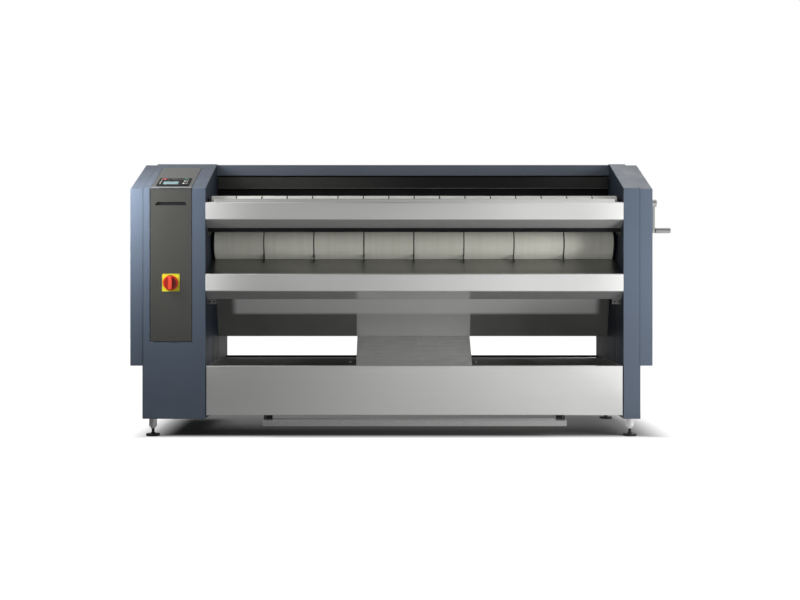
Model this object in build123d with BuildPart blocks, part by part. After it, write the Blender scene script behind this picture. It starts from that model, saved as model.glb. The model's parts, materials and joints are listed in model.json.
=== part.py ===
from build123d import *
import os
from math import acos, atan2, cos, degrees, hypot, radians, sin

# Flatwork ironer: linen is laid on the feed shelf, the feed belts carry it under the finger guard,
# eight ironing belts press it round a heated cylinder, and it comes out at the front again, over the
# exit plate or down the return slide into the linen tray.
# Millimetres. X runs to the right, Y to the rear, Z up. The origin is on the floor under the middle
# of the overall box. Profiles are drawn in depth (behind the front faces) and height (above the floor).

os.makedirs("parts", exist_ok=True)

# ---- driving dimensions --------------------------------------------------------------------------

# cabinets and covers
inner_width = 2112.0
left_cabinet_width = 319.0
right_cabinet_width = 86.0
side_cover_width = 62.0
body_depth = 950.0
cabinet_bottom = 91.0
top_height = 1411.0
slope_rise = 155.0
slope_depth_margin = 4.0
sheet = 2.0
cover_sheet = 1.5
corner_radius = 3.0
cover_setback = 6.0
cover_bottom = 359.0
frame_thickness = 8.0
seam = 0.3
running_fit = 0.05
soft_gap = 0.3

# hood, rear wall and beams; a setback is taken forwards from the cylinder's axis
hood_setback = 129.0
hood_face_height = 62.0
hood_drop = 4.0
hood_return = 18.0
rear_panel_drop = 506.0
beam_wall = 3.0
beam_depth = 46.0
beam_height = 60.0
top_beam_offset = 40.0
rear_beam_top = 352.0
entry_cover_setback = 100.5
entry_cover_rise = 251.0
entry_cover_return = 18.0
shelf_bar_setback = 3.0
shelf_bar_width = 12.0
shelf_bar_height = 20.0

# heated cylinder, hung below the cabinets' top; drops and rises are taken from its axis
cylinder_radius = 225.0
cylinder_wall = 6.0
cylinder_rear_margin = 350.0
cylinder_drop = 421.0
cylinder_end_gap = 8.0
end_disc_thickness = 12.0
journal_radius = 45.0
journal_clearance = 0.15
journal_bore_radius = 33.0
cylinder_bearing_radius = 75.0
cylinder_bearing_length = 30.0

# ironing belts and their rollers, placed round the cylinder by angle (0 to the rear, 90 up)
ironing_belt_count = 8
ironing_belt_pitch = 260.0
ironing_belt_gap = 6.0
ironing_belt_thickness = 3.0
nip_gap = 0.5
exit_roller_radius = 84.0
exit_roller_angle = 181.5
entry_roller_radius = 44.0
entry_roller_angle = 99.9
bottom_roller_radius = 30.0
bottom_roller_angle = 253.4
bottom_roller_distance = 280.0
rear_lower_roller_radius = 48.0
rear_lower_roller_angle = 315.0
rear_lower_roller_distance = 339.0
rear_upper_roller_radius = 45.0
rear_upper_roller_angle = 44.4
rear_upper_roller_distance = 322.0
roller_wall = 4.0
roller_end_disc = 10.0
roller_end_gap = 12.0
roller_shaft_radius = 15.0
bearing_radius = 35.0
bearing_length = 25.0
shaft_stub = 2.0
frame_hole_margin = 6.0

# feed belts
feed_belt_count = 16
feed_belt_pitch = 130.0
feed_belt_gap = 6.5
feed_belt_thickness = 2.0
feed_roller_radius = 35.7
feed_front_depth = 120.0
feed_rear_setback = 198.0
feed_roller_rise = 195.0
feed_shaft_radius = 12.0
feed_bearing_radius = 28.0
feed_bed_thickness = 3.0
feed_bed_flange = 22.0
feed_bed_margin = 12.0

# feed and exit shelves: a front face with a bevel under it
shelf_sheet = 1.5
shelf_bend = 6.0
shelf_bevel_depth = 64.0
shelf_bevel_drop = 42.0
shelf_back_flange = 24.0
shelf_face_height = 88.0
feed_shelf_step = 1.6
feed_shelf_reach = 76.0
exit_shelf_drop = 165.4
exit_shelf_reach = 20.0
lip_height = 19.5
lip_width = 14.0
lip_end_inset = 34.0
lip_rounding = 1.6

# exit plate and stripper fingers
exit_plate_back_setback = 362.0
exit_plate_back_drop = 92.0
finger_thickness = 3.0
finger_gap = 1.5
finger_tip_angle = 220.0
finger_heel_angle = 236.0
finger_foot_front_setback = 410.0
finger_foot_back_setback = 386.0

# inner back panel, return slide and linen tray
back_panel_top_setback = 148.0
back_panel_top_drop = 279.0
back_panel_bottom_setback = 67.0
back_panel_bottom_drop = 508.0
panel_flange = 22.0
slide_width = 609.0
slide_offset = 3.0
slide_foot_depth = 170.0
slide_fall = 203.0
slide_side_height = 12.0
tray_top = 359.4
tray_bottom = 109.5
tray_rear_margin = 360.0
tray_end_gap = 5.0
tray_back_flange = 20.0
tray_tab_length = 60.0
tray_tab_height = 40.0

# feet
foot_inset = 45.0
foot_front_depth = 59.0
foot_rear_margin = 91.0
foot_disc_radius = 35.5
foot_disc_height = 12.0
foot_cone_height = 7.0
foot_cone_taper = 30.0
foot_rod_radius = 7.5
foot_sleeve_radius = 19.75
foot_sleeve_bottom = 48.0
foot_nut_radius = 13.0
foot_nut_height = 10.0

# control slope
fascia_thickness = 1.2
fascia_length = 404.0
bezel_width = 165.0
bezel_length = 138.0
bezel_start = 42.0
bezel_offset = 1.0
bezel_height = 4.0
bezel_edge = 1.0
bezel_body_margin = 8.0
bezel_body_depth = 26.0
display_width = 76.0
display_length = 54.0
display_offset = -13.0
display_start = 59.0
lens_thickness = 2.0
key_travel = 1.0
key_pocket = 4.5
key_fit = 0.15
key_floor_gap = 0.2
key_row_start = 160.5
arrow_key_offset = 55.5
arrow_up_start = 118.0
arrow_down_start = 75.0
oval_key_width = 22.0
oval_key_length = 14.0
select_key_width = 12.0
select_key_length = 9.0
arrow_key_width = 15.0
arrow_key_length = 13.0
key_rounding = 0.33

# service door
door_width = 208.0
door_offset = -14.5
door_height = 771.0
door_top_margin = 4.0
door_gap = 3.0
door_flange = 14.0
door_pin_inset = 5.0
door_pin_depth = 6.0
door_pin_radius = 3.0
door_top_flange_drop = 13.0
pull_width = 160.0
pull_height = 16.0
pull_taper = 9.0
pull_top_drop = 66.0
pull_cup_depth = 14.0
pull_cup_wall = 1.2

# main switch on the door
switch_plate_size = 89.0
switch_plate_thickness = 2.5
switch_rise = 298.0
knob_radius = 38.0
knob_base_height = 14.0
knob_grip_width = 23.0
knob_grip_length = 70.0
knob_grip_height = 20.0
knob_shaft_radius = 5.0
knob_shaft_length = 30.0
knob_clearance = 0.4
switch_body_size = 62.0
switch_body_depth = 60.0

# finger guard
guard_drop = 70.0
guard_height = 62.0
guard_thickness = 3.0
guard_edge_height = 5.0
guard_edge_depth = 8.0
guard_end_gap = 3.0
guard_pin_radius = 4.0
guard_eye_radius = 7.0
guard_pin_drop = 75.0
guard_pin_setback = 9.0
guard_eye_width = 20.0

# pedal bar
pedal_length = 1522.0
pedal_reach = 60.0
pedal_back_depth = 55.0
pedal_top = 89.0
pedal_lip_height = 27.5
pedal_sheet = 2.0
pedal_pivot_depth = 75.0
pedal_pivot_height = 96.0
pedal_pin_radius = 6.0
pedal_eye_radius = 10.0
pedal_arm_width = 8.0
pedal_bracket_width = 5.0
pedal_spring_length = 30.0
pedal_bracket_depth = 30.0

# hand crank on the front feed roller's shaft
crank_reach = 113.0
crank_hub_length = 38.0
crank_hub_radius = 20.0
crank_hub_gap = 2.0
crank_arm_offset = 20.0
crank_shaft_depth = 30.0
crank_arm_thickness = 10.0
crank_arm_width = 26.0
crank_radius = 140.0
crank_pin_radius = 6.0
crank_grip_radius = 14.0
crank_grip_length = 82.0
crank_wall_clearance = 3.0

# drive
pulley_width = 24.0
pulley_gap = 4.0
pulley_rim_height = 8.0
pulley_rim_thickness = 3.0
pulley_web_holes = 6
pulley_hole_radius = 27.0
belt_side_gap = 0.6
journal_end = 4.0
drum_pulley_radius = 150.0
motor_pulley_radius = 50.0
motor_height = 250.0
motor_radius = 75.0
motor_length = 190.0
motor_shaft_radius = 12.0
motor_gap = 10.0
motor_shaft_depth = 63.0
motor_box_height = 105.0
motor_base_width = 130.0
drive_belt_thickness = 5.0
feed_pulley_radius = 25.0
feed_drive_width = 14.0
feed_drive_thickness = 3.0

# heater bundle, held still inside the turning cylinder
heater_tube_radius = 26.0
heater_tube_wall = 4.0
heater_rod_radius = 8.0
heater_rod_count = 6
heater_circle_radius = 140.0
heater_rod_length = 1960.0
heater_disc_thickness = 4.0
heater_disc_radius = 160.0
heater_disc_spacing = 880.0
heater_post_spacing = 190.0
heater_post_radius = 8.0
heater_plate_width = 60.0
heater_plate_thickness = 6.0

# electrical plate in the left cabinet
electrical_plate_start = 130.0
electrical_plate_length = 300.0
electrical_plate_bottom = 520.0
electrical_plate_height = 540.0
electrical_standoff = 8.0
electrical_post_inset = 30.0
contactor_width = 45.0
contactor_height = 85.0
contactor_depth = 80.0
contactor_gap = 12.0

# exhaust spigot and supply gland on the rear
spigot_radius = 75.0
spigot_wall = 1.5
spigot_reach = 40.0
spigot_rise = 140.0
spigot_flange_radius = 95.0
gland_radius = 22.0
gland_bore_radius = 11.0
gland_cap_radius = 17.5
gland_reach = 28.0
gland_height = 230.0

# shelf brackets and screws
bracket_thickness = 3.0
bracket_back_depth = 205.0
bracket_drop = 36.6
bracket_screw_front = 110.0
bracket_screw_back = 185.0
bracket_screw_rise = 16.0
exit_bracket_width = 48.0
exit_bracket_height = 26.0
exit_bracket_slot = 12.0
screw_head_radius = 5.0
screw_head_height = 3.0
tray_screw_margin = 39.0
tray_screw_drop = 21.6
rear_screw_side_inset = 42.0
rear_screw_edge_inset = 20.0

# ---- layout worked out from the driving dimensions -----------------------------------------------

overall_width = 2 * side_cover_width + left_cabinet_width + inner_width + right_cabinet_width + crank_reach
overall_depth = pedal_reach + body_depth + spigot_reach
left_cover_x = -overall_width / 2
left_cabinet_x = left_cover_x + side_cover_width
inner_left_x = left_cabinet_x + left_cabinet_width
inner_right_x = inner_left_x + inner_width
right_cabinet_x = inner_right_x + right_cabinet_width
right_cover_x = right_cabinet_x + side_cover_width
inner_centre_x = (inner_left_x + inner_right_x) / 2
front_y = pedal_reach - overall_depth / 2
front_height = top_height - slope_rise
cylinder_depth = body_depth - cylinder_rear_margin
hood_depth = cylinder_depth - hood_setback
slope_depth = hood_depth - slope_depth_margin
slope_angle = degrees(atan2(slope_rise, slope_depth))
top_beam_depth = cylinder_depth + top_beam_offset
entry_cover_depth = cylinder_depth - entry_cover_setback
feed_rear_depth = cylinder_depth - feed_rear_setback
exit_plate_back_depth = cylinder_depth - exit_plate_back_setback
finger_foot_front = cylinder_depth - finger_foot_front_setback
finger_foot_back = cylinder_depth - finger_foot_back_setback
back_panel_top_depth = cylinder_depth - back_panel_top_setback
back_panel_bottom_depth = cylinder_depth - back_panel_bottom_setback
tray_depth = body_depth - tray_rear_margin
foot_rear_depth = body_depth - foot_rear_margin
door_top = front_height - door_top_margin
door_bottom = door_top - door_height
switch_height = door_bottom + switch_rise
hood_top = top_height - hood_drop
hood_bottom = top_height - hood_face_height
guard_top = top_height - guard_drop
guard_bottom = guard_top - guard_height
guard_pin_height = top_height - guard_pin_drop
cylinder_height = top_height - cylinder_drop
entry_cover_bottom = cylinder_height + entry_cover_rise
feed_roller_height = cylinder_height + feed_roller_rise
feed_shelf_top = feed_roller_height + feed_shelf_step
exit_shelf_top = cylinder_height - exit_shelf_drop
exit_plate_back_height = cylinder_height - exit_plate_back_drop
back_panel_top_height = cylinder_height - back_panel_top_drop
back_panel_bottom_height = cylinder_height - back_panel_bottom_drop
slide_foot_height = back_panel_bottom_height - slide_fall
rear_panel_bottom = cylinder_height - rear_panel_drop
spigot_height = cylinder_height + spigot_rise
left_frame_outer_x = inner_left_x - frame_thickness
right_frame_outer_x = inner_right_x + frame_thickness
cylinder_centre = (cylinder_depth, cylinder_height)
belt_line = soft_gap + ironing_belt_thickness / 2


def section(x):
    """Plane across the machine at x: local X is depth behind the front, local Y is height."""
    return Plane(origin=(x, front_y, 0), x_dir=(0, 1, 0), z_dir=(1, 0, 0))


def facing(depth):
    """Upright plane at a depth, seen from the front: local X is x, local Y is height."""
    return Plane(origin=(0, front_y + depth, 0), x_dir=(1, 0, 0), z_dir=(0, -1, 0))


def level(height):
    """Flat plane at a height: local X is x, local Y is depth behind the front."""
    return Plane(origin=(0, front_y, height), x_dir=(1, 0, 0), z_dir=(0, 0, 1))


slope_plane = Plane(
    origin=(0, front_y, front_height),
    x_dir=(1, 0, 0),
    z_dir=(0, -sin(radians(slope_angle)), cos(radians(slope_angle))),
)


def around_cylinder(angle, distance):
    """Depth and height of a point at an angle and distance from the cylinder's axis."""
    return (
        cylinder_depth + distance * cos(radians(angle)),
        cylinder_height + distance * sin(radians(angle)),
    )


def nip_distance(roller_radius):
    """Distance from the cylinder's axis at which a roller presses its belts on the cylinder."""
    return cylinder_radius + roller_radius + ironing_belt_thickness + 2 * soft_gap + nip_gap


exit_roller_centre = around_cylinder(exit_roller_angle, nip_distance(exit_roller_radius))
entry_roller_centre = around_cylinder(entry_roller_angle, nip_distance(entry_roller_radius))
bottom_roller_centre = around_cylinder(bottom_roller_angle, bottom_roller_distance)
rear_lower_roller_centre = around_cylinder(rear_lower_roller_angle, rear_lower_roller_distance)
rear_upper_roller_centre = around_cylinder(rear_upper_roller_angle, rear_upper_roller_distance)
feed_front_centre = (feed_front_depth, feed_roller_height)
feed_rear_centre = (feed_rear_depth, feed_roller_height)

ironing_roller_centres = [
    exit_roller_centre,
    bottom_roller_centre,
    rear_lower_roller_centre,
    rear_upper_roller_centre,
    entry_roller_centre,
]


def tangent_normal(start, end):
    """Angle of the normal of the straight run from one wheel to the next, each (centre, radius, turn)."""
    (start_centre, start_radius, start_turn) = start
    (end_centre, end_radius, end_turn) = end
    across = end_centre[0] - start_centre[0]
    up = end_centre[1] - start_centre[1]
    reach = (start_turn * start_radius - end_turn * end_radius) / hypot(across, up)
    return degrees(atan2(up, across) - acos(reach))


def loop_face(wheels, grow):
    """Face inside a belt loop round its wheels; turn is 1 inside the loop and -1 outside it."""
    sized = [(centre, radius + turn * grow, turn) for centre, radius, turn in wheels]
    count = len(sized)
    normals = [tangent_normal(sized[i], sized[(i + 1) % count]) for i in range(count)]
    with BuildSketch() as face:
        with BuildLine():
            for i in range(count):
                centre, radius, turn = sized[i]
                arrive = normals[i - 1] + (0 if turn > 0 else 180)
                leave = normals[i] + (0 if turn > 0 else 180)
                CenterArc(centre, radius, arrive, turn * ((turn * (leave - arrive)) % 360))
                next_centre, next_radius, next_turn = sized[(i + 1) % count]
                run = (cos(radians(normals[i])), sin(radians(normals[i])))
                Line(
                    (centre[0] + turn * radius * run[0], centre[1] + turn * radius * run[1]),
                    (
                        next_centre[0] + next_turn * next_radius * run[0],
                        next_centre[1] + next_turn * next_radius * run[1],
                    ),
                )
        make_face()
    return face.sketch


def belt_section(wheels, thickness):
    """Cross-section of a belt laid round its wheels with the soft gap under it."""
    with BuildSketch() as band:
        add(loop_face(wheels, soft_gap + thickness))
        add(loop_face(wheels, soft_gap), mode=Mode.SUBTRACT)
    return band.sketch


def bent_sheet(points, thickness, bend, side):
    """Cross-section of a bent sheet: the points run along one face, and side says where the metal is."""
    with BuildSketch() as profile:
        with BuildLine():
            FilletPolyline(*points, radius=bend)
            offset(amount=thickness, side=side)
        make_face()
    return profile.sketch


def cabinet_outline(inset):
    """Side outline of a cabinet, drawn in by inset on every side."""
    with BuildSketch() as outline:
        with BuildLine():
            Polyline(
                (0, cabinet_bottom),
                (0, front_height),
                (slope_depth, top_height),
                (body_depth, top_height),
                (body_depth, cabinet_bottom),
                close=True,
            )
        make_face()
        if inset > 0:
            offset(amount=-inset, kind=Kind.INTERSECTION)
    return outline.sketch


def cover_outline(inset):
    """Side outline of a side cover: the cabinet's, set back and lowered, and cut off above the floor."""
    slope_share = slope_rise / slope_depth
    with BuildSketch() as outline:
        with BuildLine():
            Polyline(
                (cover_setback, cover_bottom),
                (cover_setback, front_height + slope_share * cover_setback - cover_setback),
                (slope_depth, top_height - cover_setback),
                (body_depth - cover_setback, top_height - cover_setback),
                (body_depth - cover_setback, cover_bottom),
                close=True,
            )
        make_face()
        if inset > 0:
            offset(amount=-inset, kind=Kind.INTERSECTION)
    return outline.sketch


# ---- side frames: thick plates that carry every bearing ------------------------------------------

frame_hole_centres = ironing_roller_centres + [feed_front_centre, feed_rear_centre]
roller_hole_radius = roller_shaft_radius + frame_hole_margin
journal_hole_radius = journal_radius + frame_hole_margin

with BuildPart() as left_side_frame:
    with BuildSketch(section(left_frame_outer_x)):
        add(cabinet_outline(sheet + seam))
        with Locations(*frame_hole_centres):
            Circle(roller_hole_radius, mode=Mode.SUBTRACT)
        with Locations(cylinder_centre):
            Circle(journal_hole_radius, mode=Mode.SUBTRACT)
    extrude(amount=frame_thickness)
left_side_frame.part.label = "left_side_frame"
export_step(left_side_frame.part, "parts/left_side_frame.step")

with BuildPart() as right_side_frame:
    with BuildSketch(section(inner_right_x)):
        add(cabinet_outline(sheet + seam))
        with Locations(*frame_hole_centres):
            Circle(roller_hole_radius, mode=Mode.SUBTRACT)
        with Locations(cylinder_centre):
            Circle(journal_hole_radius, mode=Mode.SUBTRACT)
    extrude(amount=frame_thickness)
right_side_frame.part.label = "right_side_frame"
export_step(right_side_frame.part, "parts/right_side_frame.step")

# ---- cabinets: folded sheet boxes, open towards the side frames ----------------------------------

door_x = left_cabinet_x + left_cabinet_width / 2 + door_offset
door_left_x = door_x - door_width / 2
door_centre_height = door_bottom + door_height / 2
bezel_x = door_x + bezel_offset
bezel_body_width = bezel_width - 2 * bezel_body_margin
bezel_body_length = bezel_length - 2 * bezel_body_margin
bezel_centre = bezel_start + bezel_length / 2
gland_x = left_cabinet_x + left_cabinet_width / 2
spigot_x = inner_centre_x

with BuildPart() as left_cabinet_shell:
    with BuildSketch(section(left_cabinet_x)):
        add(cabinet_outline(0))
    extrude(amount=left_cabinet_width)
    outer_edges = left_cabinet_shell.edges().filter_by(GeomType.LINE)
    inner_end = inner_left_x - corner_radius
    fillet([edge for edge in outer_edges if edge.center().X < inner_end], radius=corner_radius)
    with BuildSketch(section(left_cabinet_x + sheet)):
        add(cabinet_outline(sheet))
    extrude(amount=left_cabinet_width - sheet, mode=Mode.SUBTRACT)
    with BuildSketch(facing(sheet)):
        with Locations((door_x, door_centre_height)):
            Rectangle(door_width + 2 * door_gap, door_height + 2 * door_gap)
    extrude(amount=sheet, mode=Mode.SUBTRACT)
    with BuildSketch(slope_plane):
        with Locations((bezel_x, bezel_centre)):
            Rectangle(bezel_body_width + 2 * seam, bezel_body_length + 2 * seam)
    extrude(amount=-2 * sheet, mode=Mode.SUBTRACT)
    with BuildSketch(facing(body_depth)):
        with Locations((gland_x, gland_height)):
            Circle(gland_bore_radius + seam)
    extrude(amount=2 * sheet, mode=Mode.SUBTRACT)
left_cabinet_shell.part.label = "left_cabinet_shell"
export_step(left_cabinet_shell.part, "parts/left_cabinet_shell.step")

with BuildPart() as right_cabinet_shell:
    with BuildSketch(section(inner_right_x)):
        add(cabinet_outline(0))
    extrude(amount=right_cabinet_width)
    outer_edges = right_cabinet_shell.edges().filter_by(GeomType.LINE)
    inner_end = inner_right_x + corner_radius
    fillet([edge for edge in outer_edges if edge.center().X > inner_end], radius=corner_radius)
    with BuildSketch(section(inner_right_x)):
        add(cabinet_outline(sheet))
    extrude(amount=right_cabinet_width - sheet, mode=Mode.SUBTRACT)
    with BuildSketch(section(right_cabinet_x - 2 * sheet)):
        with Locations(feed_front_centre):
            Circle(feed_shaft_radius + crank_wall_clearance)
    extrude(amount=3 * sheet, mode=Mode.SUBTRACT)
right_cabinet_shell.part.label = "right_cabinet_shell"
export_step(right_cabinet_shell.part, "parts/right_cabinet_shell.step")

with BuildPart() as left_side_cover:
    with BuildSketch(section(left_cover_x)):
        add(cover_outline(0))
    extrude(amount=side_cover_width)
    outer_edges = left_side_cover.edges().filter_by(GeomType.LINE)
    inner_end = left_cabinet_x - corner_radius
    fillet([edge for edge in outer_edges if edge.center().X < inner_end], radius=corner_radius)
    with BuildSketch(section(left_cover_x + cover_sheet)):
        add(cover_outline(cover_sheet))
    extrude(amount=side_cover_width - cover_sheet, mode=Mode.SUBTRACT)
left_side_cover.part.label = "left_side_cover"
export_step(left_side_cover.part, "parts/left_side_cover.step")

with BuildPart() as right_side_cover:
    with BuildSketch(section(right_cabinet_x)):
        add(cover_outline(0))
    extrude(amount=side_cover_width)
    outer_edges = right_side_cover.edges().filter_by(GeomType.LINE)
    inner_end = right_cabinet_x + corner_radius
    fillet([edge for edge in outer_edges if edge.center().X > inner_end], radius=corner_radius)
    with BuildSketch(section(right_cabinet_x)):
        add(cover_outline(cover_sheet))
    extrude(amount=side_cover_width - cover_sheet, mode=Mode.SUBTRACT)
    with BuildSketch(section(right_cover_x - 2 * cover_sheet)):
        with Locations(feed_front_centre):
            Circle(feed_shaft_radius + crank_wall_clearance)
    extrude(amount=3 * cover_sheet, mode=Mode.SUBTRACT)
right_side_cover.part.label = "right_side_cover"
export_step(right_side_cover.part, "parts/right_side_cover.step")

# ---- hood, rear panel and cross beams between the side frames ------------------------------------

with BuildPart() as top_hood:
    with BuildSketch(section(inner_left_x)):
        add(
            bent_sheet(
                [
                    (hood_depth + hood_return, hood_bottom),
                    (hood_depth, hood_bottom),
                    (hood_depth, hood_top),
                    (body_depth - sheet, hood_top),
                ],
                sheet,
                corner_radius,
                Side.RIGHT,
            )
        )
    extrude(amount=inner_width)
top_hood.part.label = "top_hood"
export_step(top_hood.part, "parts/top_hood.step")

with BuildPart() as rear_panel:
    with BuildSketch(facing(body_depth)):
        with Locations((inner_centre_x, (rear_panel_bottom + hood_top) / 2)):
            Rectangle(inner_width, hood_top - rear_panel_bottom)
        with Locations((spigot_x, spigot_height)):
            Circle(spigot_radius - spigot_wall, mode=Mode.SUBTRACT)
    extrude(amount=sheet)
rear_panel.part.label = "rear_panel"
export_step(rear_panel.part, "parts/rear_panel.step")

beam_centres = [
    (top_beam_depth, hood_top - sheet - beam_height / 2),
    (body_depth - beam_depth / 2, rear_beam_top - beam_height / 2),
]
feed_bevel_bottom = feed_shelf_top - shelf_face_height - shelf_bevel_drop
shelf_bar_middle = shelf_bevel_depth + shelf_bar_setback + shelf_bar_width / 2
shelf_bar_inset = bracket_thickness + seam

# two box beams, the cover that hangs from the hood behind the finger guard, and the bar under the feed shelf
with BuildPart() as cross_beams:
    with BuildSketch(section(inner_left_x)):
        with Locations(*beam_centres):
            Rectangle(beam_depth, beam_height)
            Rectangle(beam_depth - 2 * beam_wall, beam_height - 2 * beam_wall, mode=Mode.SUBTRACT)
        add(
            bent_sheet(
                [
                    (entry_cover_depth, entry_cover_bottom),
                    (entry_cover_depth, hood_top - sheet),
                    (entry_cover_depth + entry_cover_return, hood_top - sheet),
                ],
                cover_sheet,
                corner_radius,
                Side.RIGHT,
            )
        )
    extrude(amount=inner_width)
    with BuildSketch(section(inner_left_x + shelf_bar_inset)):
        with Locations((shelf_bar_middle, feed_bevel_bottom - shelf_bar_height / 2)):
            Rectangle(shelf_bar_width, shelf_bar_height)
    extrude(amount=inner_width - 2 * shelf_bar_inset)
cross_beams.part.label = "cross_beams"
export_step(cross_beams.part, "parts/cross_beams.step")

# ---- feed shelf and exit shelf -------------------------------------------------------------------


def shelf_points(top, reach):
    """Outer face of a shelf: top, front face, bevel back and down, and a flat flange behind it."""
    face_bottom = top - shelf_face_height
    bevel_bottom = face_bottom - shelf_bevel_drop
    return [
        (reach, top),
        (0, top),
        (0, face_bottom),
        (shelf_bevel_depth, bevel_bottom),
        (shelf_bevel_depth + shelf_back_flange, bevel_bottom),
    ]


with BuildPart() as feed_shelf:
    with BuildSketch(section(inner_left_x)):
        add(bent_sheet(shelf_points(feed_shelf_top, feed_shelf_reach), shelf_sheet, shelf_bend, Side.LEFT))
    extrude(amount=inner_width)
    with BuildSketch(section(inner_left_x + lip_end_inset)):
        with Locations((feed_shelf_reach - lip_width / 2, feed_shelf_top + lip_height / 2)):
            RectangleRounded(lip_width, lip_height, lip_rounding)
    extrude(amount=inner_width - 2 * lip_end_inset)
feed_shelf.part.label = "feed_shelf"
export_step(feed_shelf.part, "parts/feed_shelf.step")

with BuildPart() as exit_shelf:
    with BuildSketch(section(inner_left_x)):
        add(bent_sheet(shelf_points(exit_shelf_top, exit_shelf_reach), shelf_sheet, shelf_bend, Side.LEFT))
    extrude(amount=inner_width)
exit_shelf.part.label = "exit_shelf"
export_step(exit_shelf.part, "parts/exit_shelf.step")

exit_bevel_bottom = exit_shelf_top - shelf_face_height - shelf_bevel_drop
shelf_back_depth = shelf_bevel_depth + shelf_back_flange
bracket_bottom = feed_bevel_bottom - bracket_drop
bracket_screw_height = bracket_bottom + bracket_screw_rise

# brackets on the side frames: plates under the feed shelf's ends, slotted angles under the exit shelf's
with BuildPart() as shelf_brackets:
    with BuildSketch(section(inner_left_x), section(inner_right_x - bracket_thickness)):
        with BuildLine():
            Polyline(
                (shelf_bevel_depth, feed_bevel_bottom),
                (bracket_back_depth, feed_bevel_bottom),
                (bracket_back_depth, bracket_bottom),
                (shelf_back_depth, bracket_bottom),
                (shelf_bevel_depth, (feed_bevel_bottom + bracket_bottom) / 2),
                close=True,
            )
        make_face()
    extrude(amount=bracket_thickness)
    exit_bracket_middle = exit_bevel_bottom - exit_bracket_height / 2
    exit_bracket_centres = [
        (inner_left_x + exit_bracket_width / 2, exit_bracket_middle),
        (inner_right_x - exit_bracket_width / 2, exit_bracket_middle),
    ]
    with BuildSketch(facing(shelf_bevel_depth + bracket_thickness)):
        with Locations(*exit_bracket_centres):
            Rectangle(exit_bracket_width, exit_bracket_height)
            with GridLocations(exit_bracket_width / 2, 0, 2, 1):
                SlotOverall(exit_bracket_slot, exit_bracket_slot / 2, mode=Mode.SUBTRACT)
    extrude(amount=bracket_thickness)
    with BuildSketch(section(inner_left_x), section(inner_right_x - bracket_thickness)):
        with Locations(((shelf_bevel_depth + shelf_back_depth) / 2, exit_bracket_middle)):
            Rectangle(shelf_back_flange, exit_bracket_height)
    extrude(amount=bracket_thickness)
shelf_brackets.part.label = "shelf_brackets"
export_step(shelf_brackets.part, "parts/shelf_brackets.step")

# ---- exit plate and the fingers that lift the linen off the exit roller --------------------------

exit_plate_front = exit_shelf_reach + seam

with BuildPart() as exit_plate:
    with BuildSketch(section(inner_left_x)):
        add(
            bent_sheet(
                [
                    (exit_plate_front, exit_shelf_top - shelf_back_flange),
                    (exit_plate_front, exit_shelf_top),
                    (exit_plate_back_depth, exit_plate_back_height),
                ],
                shelf_sheet,
                shelf_sheet,
                Side.RIGHT,
            )
        )
    extrude(amount=inner_width)
exit_plate.part.label = "exit_plate"
export_step(exit_plate.part, "parts/exit_plate.step")


def exit_plate_height(depth):
    """Height of the exit plate's upper face at a depth."""
    share = (depth - exit_plate_front) / (exit_plate_back_depth - exit_plate_front)
    return exit_shelf_top + share * (exit_plate_back_height - exit_shelf_top)


def beside_exit_roller(angle):
    """Point just off the exit roller's surface at an angle round its axis."""
    distance = exit_roller_radius + finger_gap
    return (
        exit_roller_centre[0] + distance * cos(radians(angle)),
        exit_roller_centre[1] + distance * sin(radians(angle)),
    )


finger_start = inner_centre_x - (ironing_belt_count / 2 - 1) * ironing_belt_pitch - finger_thickness / 2
finger_places = [finger_start + n * ironing_belt_pitch for n in range(ironing_belt_count - 1)]

with BuildPart() as stripper_fingers:
    with BuildSketch(*[section(x) for x in finger_places]):
        with BuildLine():
            Polyline(
                beside_exit_roller(finger_tip_angle),
                beside_exit_roller(finger_heel_angle),
                (finger_foot_back, exit_plate_height(finger_foot_back)),
                (finger_foot_front, exit_plate_height(finger_foot_front)),
                close=True,
            )
        make_face()
    extrude(amount=finger_thickness)
stripper_fingers.part.label = "stripper_fingers"
export_step(stripper_fingers.part, "parts/stripper_fingers.step")

# ---- inner back panel, return slide and linen tray -----------------------------------------------

with BuildPart() as inner_back_panel:
    with BuildSketch(section(inner_left_x)):
        add(
            bent_sheet(
                [
                    (back_panel_top_depth - panel_flange, back_panel_top_height),
                    (back_panel_top_depth, back_panel_top_height),
                    (back_panel_bottom_depth, back_panel_bottom_height),
                    (back_panel_bottom_depth + panel_flange, back_panel_bottom_height),
                ],
                shelf_sheet,
                corner_radius,
                Side.LEFT,
            )
        )
    extrude(amount=inner_width)
inner_back_panel.part.label = "inner_back_panel"
export_step(inner_back_panel.part, "parts/inner_back_panel.step")

slide_left_x = inner_centre_x + slide_offset - slide_width / 2
slide_head_height = back_panel_bottom_height - seam
slide_edge_places = [slide_left_x, slide_left_x + slide_width - shelf_sheet]

with BuildPart() as return_slide:
    with BuildSketch(section(slide_left_x)):
        add(
            bent_sheet(
                [
                    (back_panel_bottom_depth + panel_flange / 2, slide_head_height),
                    (back_panel_bottom_depth - corner_radius, slide_head_height),
                    (slide_foot_depth, slide_foot_height),
                ],
                shelf_sheet,
                corner_radius,
                Side.LEFT,
            )
        )
    extrude(amount=slide_width)
    with BuildSketch(*[section(x) for x in slide_edge_places]):
        with BuildLine():
            Polyline(
                (back_panel_bottom_depth - 2 * corner_radius, slide_head_height - corner_radius),
                (slide_foot_depth, slide_foot_height - shelf_sheet / 2),
                (slide_foot_depth, slide_foot_height - slide_side_height),
                (back_panel_bottom_depth - 2 * corner_radius, slide_head_height - slide_side_height),
                close=True,
            )
        make_face()
    extrude(amount=shelf_sheet)
return_slide.part.label = "return_slide"
export_step(return_slide.part, "parts/return_slide.step")

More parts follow.
